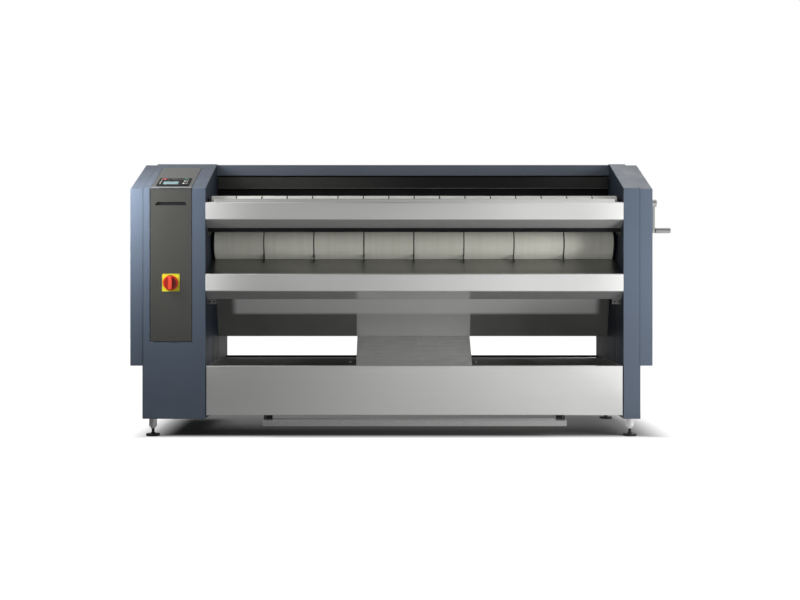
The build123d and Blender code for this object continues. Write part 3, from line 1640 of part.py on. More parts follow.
with BuildPart() as electrical_plate:
    with BuildSketch(section(plate_x)):
        with Locations(plate_centre):
            Rectangle(electrical_plate_length, electrical_plate_height)
    extrude(amount=sheet)
    with BuildSketch(section(left_cabinet_x + sheet)):
        with Locations(plate_centre):
            with GridLocations(post_pitch_along, post_pitch_up, 2, 2):
                Circle(electrical_standoff / 2)
    extrude(amount=electrical_standoff)
    with BuildSketch(section(plate_x + sheet)):
        with Locations(plate_centre):
            with GridLocations(contactor_width + contactor_gap, 2 * contactor_height, 4, 2):
                Rectangle(contactor_width, contactor_height)
    extrude(amount=contactor_depth)
electrical_plate.part.label = "electrical_plate"
export_step(electrical_plate.part, "parts/electrical_plate.step")

# ---- exhaust spigot and supply gland at the rear -------------------------------------------------

with BuildPart() as exhaust_spigot:
    with BuildSketch(facing(body_depth)):
        with Locations((spigot_x, spigot_height)):
            Circle(spigot_flange_radius)
            Circle(spigot_radius - spigot_wall, mode=Mode.SUBTRACT)
    extrude(amount=-spigot_wall)
    with BuildSketch(facing(body_depth)):
        with Locations((spigot_x, spigot_height)):
            Circle(spigot_radius)
            Circle(spigot_radius - spigot_wall, mode=Mode.SUBTRACT)
    extrude(amount=-spigot_reach)
exhaust_spigot.part.label = "exhaust_spigot"
export_step(exhaust_spigot.part, "parts/exhaust_spigot.step")

with BuildPart() as supply_gland:
    with BuildSketch(facing(body_depth)):
        with Locations((gland_x, gland_height)):
            RegularPolygon(gland_radius, 6)
    extrude(amount=-gland_reach / 2)
    with BuildSketch(facing(body_depth)):
        with Locations((gland_x, gland_height)):
            Circle(gland_cap_radius)
    extrude(amount=-gland_reach)
    with BuildSketch(facing(body_depth)):
        with Locations((gland_x, gland_height)):
            Circle(gland_bore_radius)
    extrude(amount=-gland_reach, mode=Mode.SUBTRACT)
supply_gland.part.label = "supply_gland"
export_step(supply_gland.part, "parts/supply_gland.step")

# ---- screws: on the shelf brackets, the tray's back wall and the rear panel ----------------------

bracket_screw_places = [
    (bracket_screw_front, bracket_screw_height),
    (bracket_screw_back, bracket_screw_height),
]
tray_screw_spacing = slide_width + 2 * tray_screw_margin
tray_screw_height = tray_top - tray_screw_drop
rear_screw_pitch_across = inner_width / 2 - rear_screw_side_inset
rear_screw_pitch_up = hood_top - rear_panel_bottom - 2 * rear_screw_edge_inset

with BuildPart() as case_screws:
    with BuildSketch(section(inner_left_x + bracket_thickness)):
        with Locations(*bracket_screw_places):
            Circle(screw_head_radius)
    extrude(amount=screw_head_height)
    with BuildSketch(section(inner_right_x - bracket_thickness)):
        with Locations(*bracket_screw_places):
            Circle(screw_head_radius)
    extrude(amount=-screw_head_height)
    with BuildSketch(facing(tray_depth - shelf_sheet)):
        with Locations((inner_centre_x + slide_offset, tray_screw_height)):
            with GridLocations(tray_screw_spacing, 0, 2, 1):
                Circle(screw_head_radius)
    extrude(amount=screw_head_height)
    with BuildSketch(facing(body_depth)):
        with Locations((inner_centre_x, (rear_panel_bottom + hood_top) / 2)):
            with GridLocations(rear_screw_pitch_across, rear_screw_pitch_up, 3, 2):
                Circle(screw_head_radius)
    extrude(amount=-screw_head_height)
case_screws.part.label = "case_screws"
export_step(case_screws.part, "parts/case_screws.step")
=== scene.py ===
import json
import math

import bpy
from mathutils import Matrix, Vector


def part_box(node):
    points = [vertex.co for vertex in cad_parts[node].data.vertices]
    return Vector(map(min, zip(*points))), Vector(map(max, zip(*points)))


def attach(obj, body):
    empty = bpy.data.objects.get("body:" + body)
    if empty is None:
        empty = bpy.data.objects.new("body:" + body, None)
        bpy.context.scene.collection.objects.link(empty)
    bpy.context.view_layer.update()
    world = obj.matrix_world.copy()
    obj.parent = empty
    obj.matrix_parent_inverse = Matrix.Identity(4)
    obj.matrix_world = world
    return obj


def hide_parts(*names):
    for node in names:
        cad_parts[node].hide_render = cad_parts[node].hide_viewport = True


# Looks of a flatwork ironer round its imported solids. Metres, in the row frame:
# X to the operator's right, Y to the rear, Z up, the floor at Z = 0.

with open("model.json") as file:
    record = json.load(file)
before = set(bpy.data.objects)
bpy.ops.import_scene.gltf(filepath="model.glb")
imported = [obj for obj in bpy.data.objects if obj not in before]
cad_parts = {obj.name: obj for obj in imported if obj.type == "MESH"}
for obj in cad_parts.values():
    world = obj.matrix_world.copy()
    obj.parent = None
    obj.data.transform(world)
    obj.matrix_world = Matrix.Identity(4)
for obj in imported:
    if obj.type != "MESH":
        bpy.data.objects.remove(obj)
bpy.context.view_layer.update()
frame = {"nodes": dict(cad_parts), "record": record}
nodes = frame["nodes"]


def middle(node):
    """Centre of a node's box at rest."""
    low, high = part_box(node)
    return (low + high) / 2


# ---- places the materials refer to --------------------------------------------------------------

slope_foot = (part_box("left_cabinet_shell")[0].y, 1.256)
slope_rise, slope_depth = 0.155, 0.467
slope_angle = math.atan2(slope_rise, slope_depth)
slope_run = (math.cos(slope_angle), math.sin(slope_angle))
tray_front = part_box("linen_tray")[0].y
inner_low, inner_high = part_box("top_hood")
inner_centre = (inner_low.x + inner_high.x) / 2

# painted reflection band of the inner back panel: its lower edge, half its length and its shift to the right
back_band_low, back_band_half, back_band_shift = 0.596, 0.955, 0.015

# from one belt to the next
ironing_pitch, feed_pitch = 0.260, 0.130


def slope_place(node):
    """(x, run up the control slope) of a node's middle."""
    spot = middle(node)
    return spot.x, (spot.y - slope_foot[0]) * slope_run[0] + (spot.z - slope_foot[1]) * slope_run[1]


# ---- node helpers -------------------------------------------------------------------------------

def new_material(name, **constants):
    """Material with a Principled shader whose plain inputs are set on the shader itself."""
    material = bpy.data.materials.new(name)
    material.use_nodes = True
    shader = material.node_tree.nodes["Principled BSDF"]
    for socket, value in constants.items():
        shader.inputs[socket.replace("_", " ")].default_value = value
    return material, material.node_tree, shader


def put(tree, kind, settings=None, **inputs):
    """Adds a node; an input is a value or another node's output socket."""
    node = tree.nodes.new(kind)
    for name, value in (settings or {}).items():
        setattr(node, name, value)
    for name, value in inputs.items():
        socket = node.inputs[int(name[1:])] if name[0] == "i" and name[1:].isdigit() else node.inputs[name]
        if isinstance(value, bpy.types.NodeSocket):
            tree.links.new(value, socket)
        else:
            socket.default_value = value
    return node


def place(tree, stretch=(1, 1, 1), uv=False):
    """Coordinates in metres of the row frame at rest, or along and across a belt, stretched per axis."""
    source = put(tree, "ShaderNodeTexCoord")
    scaled = put(tree, "ShaderNodeMapping", Vector=source.outputs["UV" if uv else "Object"], Scale=stretch)
    return scaled.outputs["Vector"]


def noise(tree, where, scale, detail=4.0, rough=0.55):
    made = put(tree, "ShaderNodeTexNoise", Vector=where, Scale=scale, Detail=detail, Roughness=rough)
    return made.outputs["Fac"]


def spread(tree, value, low, high, start=0.3, end=0.7, smooth=False):
    """Maps a value from start..end to low..high."""
    settings = {"interpolation_type": "SMOOTHSTEP"} if smooth else None
    made = put(tree, "ShaderNodeMapRange", settings, i0=value, i1=start, i2=end, i3=low, i4=high)
    return made.outputs["Result"]


def sums(tree, operation, a, b):
    return put(tree, "ShaderNodeMath", {"operation": operation}, i0=a, i1=b).outputs["Value"]


def absolute(tree, value):
    return put(tree, "ShaderNodeMath", {"operation": "ABSOLUTE"}, i0=value).outputs["Value"]


def apart(tree, value, centre):
    """How far a value is from a centre."""
    return absolute(tree, sums(tree, "SUBTRACT", value, centre))


def radius_of(tree, u, v):
    """Length of (u, v)."""
    squares = sums(tree, "ADD", sums(tree, "MULTIPLY", u, u), sums(tree, "MULTIPLY", v, v))
    return put(tree, "ShaderNodeMath", {"operation": "SQRT"}, i0=squares).outputs["Value"]


def mixed(tree, factor, a, b):
    """Colour mix: a where the factor is 0, b where it is 1."""
    made = put(tree, "ShaderNodeMix", {"data_type": "RGBA"})
    for index, value in ((0, factor), (6, a), (7, b)):
        if isinstance(value, bpy.types.NodeSocket):
            tree.links.new(value, made.inputs[index])
        else:
            made.inputs[index].default_value = value if index == 0 else (*value, 1)
    return made.outputs[2]


def blended(tree, factor, a, b):
    """The same for plain numbers."""
    made = put(tree, "ShaderNodeMix", {"data_type": "FLOAT"})
    for index, value in ((0, factor), (2, a), (3, b)):
        if isinstance(value, bpy.types.NodeSocket):
            tree.links.new(value, made.inputs[index])
        else:
            made.inputs[index].default_value = value
    return made.outputs[0]


def bump(tree, shader, height, distance, strength, under=None):
    made = put(tree, "ShaderNodeBump", Strength=strength, Distance=distance, Height=height)
    if under is not None:
        tree.links.new(under, made.inputs["Normal"])
    tree.links.new(made.outputs["Normal"], shader.inputs["Normal"])


def axis_of(tree, where, axis):
    return put(tree, "ShaderNodeSeparateXYZ", Vector=where).outputs[axis]


def tint(colour, share):
    return tuple(channel * share for channel in colour)


def near(tree, value, centre, reach):
    """1 where the value is within the reach of the centre."""
    made = put(tree, "ShaderNodeMath", {"operation": "COMPARE"}, i0=value, i1=centre, i2=reach)
    return made.outputs["Value"]


def patch(tree, across, along, centre, size):
    """Mask of a rectangle round a centre."""
    beside = near(tree, across, centre[0], size[0] / 2)
    above = near(tree, along, centre[1], size[1] / 2)
    return sums(tree, "MULTIPLY", beside, above)


def on_slope(tree):
    """x and the run up the control slope, as sockets."""
    where = place(tree)
    depth = sums(tree, "SUBTRACT", axis_of(tree, where, "Y"), slope_foot[0])
    rise = sums(tree, "SUBTRACT", axis_of(tree, where, "Z"), slope_foot[1])
    run = sums(
        tree, "ADD", sums(tree, "MULTIPLY", depth, slope_run[0]), sums(tree, "MULTIPLY", rise, slope_run[1])
    )
    return axis_of(tree, where, "X"), run


def rounded(tree, radius):
    """Normal with softened edges, and a mask of the edges themselves."""
    soft = put(tree, "ShaderNodeBevel", {"samples": 4}, Radius=radius)
    sharp = put(tree, "ShaderNodeNewGeometry").outputs["Normal"]
    dot = put(tree, "ShaderNodeVectorMath", {"operation": "DOT_PRODUCT"}, i0=soft.outputs["Normal"], i1=sharp)
    return soft.outputs["Normal"], spread(tree, dot.outputs["Value"], 1.0, 0.0, 0.86, 0.995)


# ---- materials ----------------------------------------------------------------------------------

# softened edges, and how deep the finish of each surface is
sheet_edge, brushed_edge, moulded_edge = 0.0022, 0.0012, 0.0008
orange_peel, brush_depth = 0.00012, 0.00003
dust_grey = (0.20, 0.20, 0.20)


def powder_coat(
    name, colour, rough=0.40, metal=0.0, coat=0.12, gloss=0.45, edge=1.35, smear=1.0, marks=None
):
    """Sprayed sheet metal: faint clouds, fine orange peel, dust low down and rubbed edges."""
    material, tree, shader = new_material(
        name, Metallic=metal, Coat_Weight=coat, Coat_Roughness=0.30, Specular_IOR_Level=gloss
    )
    where = place(tree)
    clouds = noise(tree, where, 2.6, 3.0)
    specks = noise(tree, where, 520.0, 2.0)
    base = mixed(tree, spread(tree, clouds, 0.0, 1.0), tint(colour, 0.95), tint(colour, 1.05))
    base = mixed(tree, spread(tree, specks, 0.0, 0.35, 0.35, 0.75), base, tint(colour, 1.12))
    low = spread(tree, axis_of(tree, where, "Z"), 1.0, 0.0, 0.08, 0.34)
    dust = sums(tree, "MULTIPLY", low, spread(tree, noise(tree, where, 14.0, 6.0), 0.0, 0.10, 0.4, 0.75))
    base = mixed(tree, dust, base, dust_grey)
    soft, edges = rounded(tree, sheet_edge)
    rubbed = sums(tree, "MULTIPLY", edges, spread(tree, noise(tree, where, 26.0, 5.0), 0.15, 1.0, 0.35, 0.65))
    base = mixed(tree, sums(tree, "MULTIPLY", rubbed, 0.7), base, tint(colour, edge))
    if marks:
        base = marks(tree, base)
    tree.links.new(base, shader.inputs["Base Color"])
    smears = noise(tree, place(tree, (9.0, 9.0, 2.2)), 1.0, 5.0)
    dull = spread(tree, smears, rough - 0.05 * smear, rough + 0.07 * smear)
    tree.links.new(dull, shader.inputs["Roughness"])
    bump(tree, shader, noise(tree, where, 900.0, 2.0), orange_peel, 0.55, soft)
    return material


def brushed(name, colour, along="X", rough=0.27, grain=1.0, metal=1.0, streaks=1.0, aniso=0.0, marks=None):
    """Sheet or bar brushed along one axis: fine lines, slow clouds in the gloss and a few rub marks."""
    material, tree, shader = new_material(name, Metallic=metal, Anisotropic=aniso, Anisotropic_Rotation=0.25)

    def drawn_out(lengthwise, crosswise):
        return place(tree, tuple(lengthwise if axis == along else crosswise for axis in "XYZ"))

    lines = noise(tree, drawn_out(5.0, 1300.0), 1.0, 4.0, 0.65)
    bands = noise(tree, drawn_out(0.8, 34.0), 1.0, 2.0)
    clouds = noise(tree, place(tree), 2.3, 3.0)
    rubs = noise(tree, drawn_out(9.0, 70.0), 1.0, 6.0, 0.7)
    darker, lighter = tint(colour, 1 - 0.05 * streaks), tint(colour, 1 + 0.04 * streaks)
    base = mixed(tree, spread(tree, lines, 0.0, 1.0), darker, lighter)
    base = mixed(tree, spread(tree, bands, 0.0, 0.25 * streaks), base, tint(colour, 0.93))
    base = mixed(tree, spread(tree, clouds, 0.0, 0.30, 0.45, 0.75), base, tint(colour, 0.93))
    soft, edges = rounded(tree, brushed_edge)
    base = mixed(tree, sums(tree, "MULTIPLY", edges, 0.35), base, tint(colour, 1.15))
    if marks:
        base = marks(tree, base)
    tree.links.new(base, shader.inputs["Base Color"])
    fine = spread(tree, lines, -0.015, 0.02)
    slow = spread(tree, clouds, rough - 0.015, rough + 0.03)
    dull = sums(tree, "ADD", fine, slow)
    dull = sums(tree, "ADD", dull, spread(tree, rubs, 0.0, 0.06, 0.66, 0.78))
    tree.links.new(dull, shader.inputs["Roughness"])
    bump(tree, shader, lines, brush_depth * grain, 0.35, soft)
    return material


def moulded(name, colour, rough=0.42, grain=0.00008, coat=0.0, gloss=0.5, marks=None):
    """Moulded plastic with a fine grain and slightly uneven colour; marks may change the colour by place."""
    material, tree, shader = new_material(
        name, Coat_Weight=coat, Coat_Roughness=0.12, Specular_IOR_Level=gloss
    )
    where = place(tree)
    clouds = noise(tree, where, 22.0, 3.0)
    base = mixed(tree, spread(tree, clouds, 0.0, 1.0), tint(colour, 0.92), tint(colour, 1.07))
    soft, edges = rounded(tree, moulded_edge)
    pale_edge = tuple(min(1.0, channel * 1.3 + 0.01) for channel in colour)
    base = mixed(tree, sums(tree, "MULTIPLY", edges, 0.3), base, pale_edge)
    if marks:
        base = marks(tree, base)
    tree.links.new(base, shader.inputs["Base Color"])
    dull = spread(tree, noise(tree, where, 60.0), rough - 0.05, rough + 0.06)
    tree.links.new(dull, shader.inputs["Roughness"])
    bump(tree, shader, noise(tree, where, 1600.0, 2.0), grain, 0.5, soft)
    return material


wave_per_thread = 0.159  # scale of a wave that repeats every second thread, times the thread's width


def woven(name, colour, thread, weave_depth, pitch, stain):
    """Belt cloth: a plain weave along and across, yarn mottling, and rub lines along the belt."""
    material, tree, shader = new_material(
        name, Sheen_Weight=0.18, Sheen_Roughness=0.5, Specular_IOR_Level=0.25
    )
    flat = place(tree, uv=True)
    across, along = (
        put(
            tree, "ShaderNodeTexWave", {"wave_type": "BANDS", "bands_direction": axis, "wave_profile": "SIN"},
            Vector=flat, Scale=wave_per_thread / thread, Distortion=0.4, Detail=1.0,
        ).outputs["Fac"]
        for axis in "XY"
    )
    weave = sums(tree, "MULTIPLY", across, along)
    mottle = noise(tree, place(tree, (260.0, 260.0, 260.0), uv=True), 1.0, 3.0)
    rubs = noise(tree, place(tree, (46.0, 1.3, 1.0), uv=True), 1.0, 4.0)
    base = mixed(tree, spread(tree, mottle, 0.0, 1.0), tint(colour, 0.93), tint(colour, 1.06))
    base = mixed(tree, spread(tree, rubs, 0.0, 0.45, 0.42, 0.72), base, stain)
    base = mixed(tree, spread(tree, weave, 0.22, 0.0, 0.0, 0.35), base, tint(colour, 0.55))
    pitches = sums(tree, "DIVIDE", axis_of(tree, flat, "X"), pitch)
    belt_number = put(tree, "ShaderNodeMath", {"operation": "FLOOR"}, i0=pitches)
    shade = put(tree, "ShaderNodeTexWhiteNoise", {"noise_dimensions": "1D"}, W=belt_number.outputs["Value"])
    base = mixed(tree, spread(tree, shade.outputs["Value"], 0.0, 0.35, 0.0, 1.0), base, tint(colour, 0.86))
    tree.links.new(base, shader.inputs["Base Color"])
    tree.links.new(spread(tree, mottle, 0.72, 0.9), shader.inputs["Roughness"])
    bump(tree, shader, weave, weave_depth, 0.8)
    return material


def glass_display(name):
    """Liquid crystal behind a clear window, with two faint rows of segments."""
    material, tree, shader = new_material(name, Coat_Weight=0.4, Coat_Roughness=0.08)
    row_height, row_lift, upper_length, lower_length, lower_shift = 0.008, 0.010, 0.058, 0.046, 0.006
    across, along = on_slope(tree)
    centre = slope_place("display_lens")
    cells = noise(tree, place(tree, (420.0, 420.0, 420.0)), 1.0, 1.0)
    upper, lower = (centre[0], centre[1] + row_lift), (centre[0] - lower_shift, centre[1] - row_lift)
    rows = sums(
        tree, "ADD",
        patch(tree, across, along, upper, (upper_length, row_height)),
        patch(tree, across, along, lower, (lower_length, row_height)),
    )
    marks = sums(tree, "MULTIPLY", rows, spread(tree, cells, 0.0, 0.45, 0.48, 0.56))
    clouds = spread(tree, noise(tree, place(tree), 30.0), 0.0, 1.0)
    pale = mixed(tree, clouds, (0.125, 0.235, 0.25), (0.145, 0.26, 0.275))
    tree.links.new(mixed(tree, marks, pale, (0.06, 0.13, 0.17)), shader.inputs["Base Color"])
    tree.links.new(spread(tree, cells, 0.20, 0.26), shader.inputs["Roughness"])
    return material


def panel_marks(tree, base):
    """Light strips at both ends of the control housing; a pale field with two dark lines between its keys."""
    strip_offset, strip_row, strip_size = 0.0675, 0.108, (0.0036, 0.098)
    field_size, line_offset, line_size = (0.086, 0.017), 0.010, (0.0022, 0.009)
    across, along = on_slope(tree)
    centre_x = slope_place("control_housing")[0]
    key_row = slope_place("select_key_left")[1]
    for side in (-1, 1):
        strip = patch(tree, across, along, (centre_x + side * strip_offset, strip_row), strip_size)
        base = mixed(tree, strip, base, (0.30, 0.30, 0.28))
    base = mixed(tree, patch(tree, across, along, (centre_x, key_row), field_size), base, (0.10, 0.10, 0.09))
    for side in (-1, 1):
        line = patch(tree, across, along, (centre_x + side * line_offset, key_row), line_size)
        base = mixed(tree, line, base, (0.010, 0.010, 0.010))
    return base


def fascia_marks(tree, base):
    """Dark seams at both sides of the fascia, and a painted highlight along its folded lower edge."""
    seam_width, fold_bright, fold_end = 0.0026, 0.010, 0.034
    across, along = on_slope(tree)
    low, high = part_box("control_fascia")
    beside = apart(tree, across, middle("control_fascia").x)
    seam = sums(tree, "GREATER_THAN", beside, (high.x - low.x) / 2 - seam_width)
    # painted highlight: the folded lower edge is lighter than the rest of the sheet
    fold_highlight = spread(tree, along, 1.0, 0.0, fold_bright, fold_end)
    base = mixed(tree, sums(tree, "MULTIPLY", fold_highlight, 0.85), base, (0.52, 0.52, 0.49))
    return mixed(tree, seam, base, (0.02, 0.02, 0.02))


def seam_marks(tree, base):
    """Shadow lines where the side covers meet the cabinets."""
    inset, half_width, depth = 0.0038, 0.0027, 0.55
    where = place(tree)
    across, height = axis_of(tree, where, "X"), axis_of(tree, where, "Z")
    left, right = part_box("left_cabinet_shell")[0].x + inset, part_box("right_cabinet_shell")[1].x - inset
    lines = sums(tree, "ADD", near(tree, across, left, half_width), near(tree, across, right, half_width))
    beside_cover = sums(tree, "GREATER_THAN", height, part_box("left_side_cover")[0].z)
    shadow = sums(tree, "MULTIPLY", lines, sums(tree, "MULTIPLY", beside_cover, depth))
    return mixed(tree, shadow, base, (0.02, 0.025, 0.03))


def tray_shade_marks(tree, base):
    """Painted shade: the inside of the linen tray is darker than its front."""
    fade_start, fade_end = tray_front + 0.004, tray_front + 0.009
    inside = spread(tree, axis_of(tree, place(tree), "Y"), 0.0, 1.0, fade_start, fade_end)
    # painted shade inside the tray
    return mixed(tree, inside, base, (0.42, 0.42, 0.41))


def frame_shade_marks(depth):
    """Painted shade: black below the back panel on a side frame, behind a depth."""
    def marks(tree, base):
        where = place(tree)
        behind = sums(tree, "GREATER_THAN", axis_of(tree, where, "Y"), depth)
        below = sums(tree, "LESS_THAN", axis_of(tree, where, "Z"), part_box("inner_back_panel")[0].z)
        return mixed(tree, sums(tree, "MULTIPLY", behind, below), base, (0.004, 0.004, 0.004))
    return marks


def arrow_marks(node, up):
    """Dark triangle on an arrow key, pointing up or down the slope."""
    tip, foot = 0.0026, -0.0024

    def marks(tree, base):
        across, along = on_slope(tree)
        centre = slope_place(node)
        climb = sums(tree, "SUBTRACT", along, centre[1])
        climb = sums(tree, "MULTIPLY", climb, 1.0 if up else -1.0)
        inside = sums(tree, "LESS_THAN", apart(tree, across, centre[0]), sums(tree, "SUBTRACT", tip, climb))
        inside = sums(tree, "MULTIPLY", inside, sums(tree, "GREATER_THAN", climb, foot))
        return mixed(tree, inside, base, (0.03, 0.03, 0.03))
    return marks


def disc_marks(node, colour, bar):
    """Pale ring, or an upright bar, on an oval key."""
    bar_size, ring_radius, ring_half = (0.0014, 0.0066), 0.0030, 0.0006

    def marks(tree, base):
        across, along = on_slope(tree)
        centre = slope_place(node)
        if bar:
            inside = patch(tree, across, along, centre, bar_size)
        else:
            u, v = sums(tree, "SUBTRACT", across, centre[0]), sums(tree, "SUBTRACT", along, centre[1])
            inside = near(tree, radius_of(tree, u, v), ring_radius, ring_half)
        return mixed(tree, inside, base, colour)
    return marks


def knob_marks(tree, base):
    """Painted shade in the dish and on its right side, a painted highlight on the grip, and a dark notch at
    the rim of the switch knob.
    """
    notch_lift, notch_size = 0.0365, (0.011, 0.005)
    dish_radius, rim_radius, grip_half, grip_reach, shade_end = 0.0285, 0.0315, 0.0085, 0.034, 0.013
    where = place(tree)
    centre = middle("main_switch_knob")
    across, height = axis_of(tree, where, "X"), axis_of(tree, where, "Z")
    notch = patch(tree, across, height, (centre.x, centre.z + notch_lift), notch_size)
    base = mixed(tree, notch, base, (0.02, 0.01, 0.01))
    u, v = sums(tree, "SUBTRACT", across, centre.x), sums(tree, "SUBTRACT", height, centre.z)
    far = radius_of(tree, u, v)
    # painted shade in the dish round the grip, deeper on its right side
    dish_shade = spread(tree, far, 1.0, 0.0, dish_radius, rim_radius)
    base = mixed(tree, sums(tree, "MULTIPLY", dish_shade, 0.75), base, (0.26, 0.010, 0.006))
    shaded = sums(tree, "MULTIPLY", dish_shade, spread(tree, u, 0.0, 0.6, grip_half, shade_end))
    base = mixed(tree, shaded, base, (0.10, 0.004, 0.003))
    # painted highlight along the grip
    grip_highlight = sums(tree, "MULTIPLY", near(tree, u, 0.0, grip_half), sums(tree, "LESS_THAN", far, grip_reach))
    return mixed(tree, grip_highlight, base, (0.78, 0.075, 0.035))


def plate_marks(tree, base):
    """Frame line on the switch plate, and the dark body behind it."""
    plate_depth, outer_side, inner_side = 0.004, 0.0845, 0.0825
    where = place(tree)
    behind = sums(tree, "GREATER_THAN", axis_of(tree, where, "Y"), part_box("main_switch")[0].y + plate_depth)
    base = mixed(tree, behind, base, (0.03, 0.03, 0.03))
    centre = middle("main_switch_knob")
    across, height = axis_of(tree, where, "X"), axis_of(tree, where, "Z")
    outer = patch(tree, across, height, (centre.x, centre.z), (outer_side, outer_side))
    inner = patch(tree, across, height, (centre.x, centre.z), (inner_side, inner_side))
    return mixed(tree, sums(tree, "SUBTRACT", outer, inner), base, (0.30, 0.24, 0.02))


def back_panel(name):
    """Inner back panel: a painted reflection as a bright band under the exit shelf, painted shade below it,
    and lighter over the slide.
    """
    band_fade, end_fade, slide_fade = 0.020, 0.045, 0.004
    material = brushed(name, (0.84, 0.84, 0.83), rough=0.24, grain=0.4, metal=0.30, streaks=0.3, aniso=0.5)
    tree = material.node_tree
    shader = tree.nodes["Principled BSDF"]
    where = place(tree)
    across, height = axis_of(tree, where, "X"), axis_of(tree, where, "Z")
    beside = apart(tree, across, middle("inner_back_panel").x + back_band_shift)
    # painted reflection: a bright band across the panel, fading out at its ends
    ends = spread(tree, beside, 1.0, 0.0, back_band_half, back_band_half + end_fade, smooth=True)
    reflection_band = spread(tree, height, 0.0, 1.0, back_band_low, back_band_low + band_fade, smooth=True)
    reflection_band = sums(tree, "MULTIPLY", reflection_band, ends)
    reflection_colour = shader.inputs["Base Color"].links[0].from_socket
    # painted shade: the panel below the band is darker
    clouds = spread(tree, noise(tree, where, 3.0), 0.0, 1.0)
    painted_shade = mixed(tree, clouds, (0.17, 0.17, 0.165), (0.21, 0.21, 0.20))
    slide_low, slide_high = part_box("return_slide")
    slide_half = (slide_high.x - slide_low.x) / 2
    from_slide = apart(tree, across, middle("return_slide").x)
    over_slide = spread(tree, from_slide, 1.0, 0.0, slide_half, slide_half + slide_fade)
    painted_shade = mixed(tree, over_slide, painted_shade, (0.58, 0.58, 0.57))
    tree.links.new(mixed(tree, reflection_band, painted_shade, reflection_colour), shader.inputs["Base Color"])
    return material


def guard_marks(tree, base):
    """The guard is painted darkest near the middle of its length, as shade, and its lower edge carries an
    uneven painted highlight.
    """
    darkest_x, dark_half, fade_half = 0.36, 0.15, 0.95
    highlight_top, highlight_end = 0.002, 0.007
    where = place(tree)
    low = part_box("finger_guard")[0].z
    beside = apart(tree, axis_of(tree, where, "X"), darkest_x)
    # painted shade, darkest near the middle of the guard's length
    painted_shade = spread(tree, beside, 1.0, 0.0, dark_half, fade_half, smooth=True)
    base = mixed(tree, painted_shade, base, (0.007, 0.007, 0.0075))
    # painted highlight along the lower edge, uneven along its length
    edge_highlight = spread(tree, axis_of(tree, where, "Z"), 1.0, 0.0, low + highlight_top, low + highlight_end)
    edge_highlight = sums(tree, "MULTIPLY", edge_highlight, spread(tree, noise(tree, place(tree, (30, 90, 90)), 1.0), 0.4, 1.0))
    return mixed(tree, edge_highlight, base, (0.10, 0.10, 0.095))


cabinet_blue = (0.081, 0.103, 0.140)
inner_blue = (0.020, 0.028, 0.042)
stainless_grey = (0.76, 0.76, 0.75)
key_white = (0.62, 0.62, 0.60)
inner_finish = {"rough": 0.55, "coat": 0.0, "gloss": 0.18}
mirror_finish = {"rough": 0.12, "aniso": 0.6, "metal": 0.68}
# depths behind which the side frames are painted black as shade, below the back panel
frame_shade_left, frame_shade_right = -0.16, 0.02
looks = {
    "cabinet_paint": powder_coat(
        "cabinet_paint", cabinet_blue, rough=0.36, coat=0.05, gloss=0.35, edge=1.2, marks=seam_marks
    ),
    "inner_paint": powder_coat("inner_paint", inner_blue, edge=1.2, **inner_finish),
    "hood_paint": powder_coat("hood_paint", (0.085, 0.101, 0.128), rough=0.42, coat=0.0, gloss=0.3),
    "stainless": brushed("stainless", stainless_grey, **mirror_finish),
    "dark_steel": brushed("dark_steel", (0.13, 0.13, 0.125), rough=0.34, metal=0.8),
    "door_paint": powder_coat(
        "door_paint", (0.105, 0.105, 0.098), rough=0.22, metal=0.75, coat=0.0, edge=1.6, smear=0.3
    ),
    "black_plastic": moulded("black_plastic", (0.014, 0.014, 0.015)),
    "display": glass_display("display"),
    "red_plastic": moulded("red_plastic", (0.60, 0.024, 0.012), rough=0.34, coat=0.15),
    "yellow_plastic": moulded("yellow_plastic", (0.66, 0.62, 0.03), rough=0.40, marks=plate_marks),
    "green_plastic": moulded("green_plastic", (0.030, 0.20, 0.10), rough=0.35),
    "white_plastic": moulded("white_plastic", key_white, rough=0.40),
    "belt_cloth": woven(
        "belt_cloth", (0.70, 0.70, 0.62), thread=0.0016, weave_depth=0.0005, pitch=ironing_pitch,
        stain=(0.58, 0.57, 0.48),
    ),
    "feed_cloth": woven(
        "feed_cloth", (0.86, 0.86, 0.80), thread=0.0012, weave_depth=0.0003, pitch=feed_pitch,
        stain=(0.78, 0.78, 0.71),
    ),
    "belt_rubber": moulded("belt_rubber", (0.018, 0.018, 0.018), rough=0.62, grain=0.00015),
    "steel": brushed("steel", (0.42, 0.42, 0.42), rough=0.32),
    "polished_steel": brushed("polished_steel", (0.60, 0.60, 0.60), rough=0.14, grain=0.5),
    "zinc_steel": brushed("zinc_steel", (0.52, 0.52, 0.50), along="Z", rough=0.32),
    "black_steel": powder_coat("black_steel", (0.013, 0.013, 0.014), rough=0.50, coat=0.0, gloss=0.25),
    "aluminium": brushed("aluminium", (0.62, 0.62, 0.63), along="Z", rough=0.34),
}
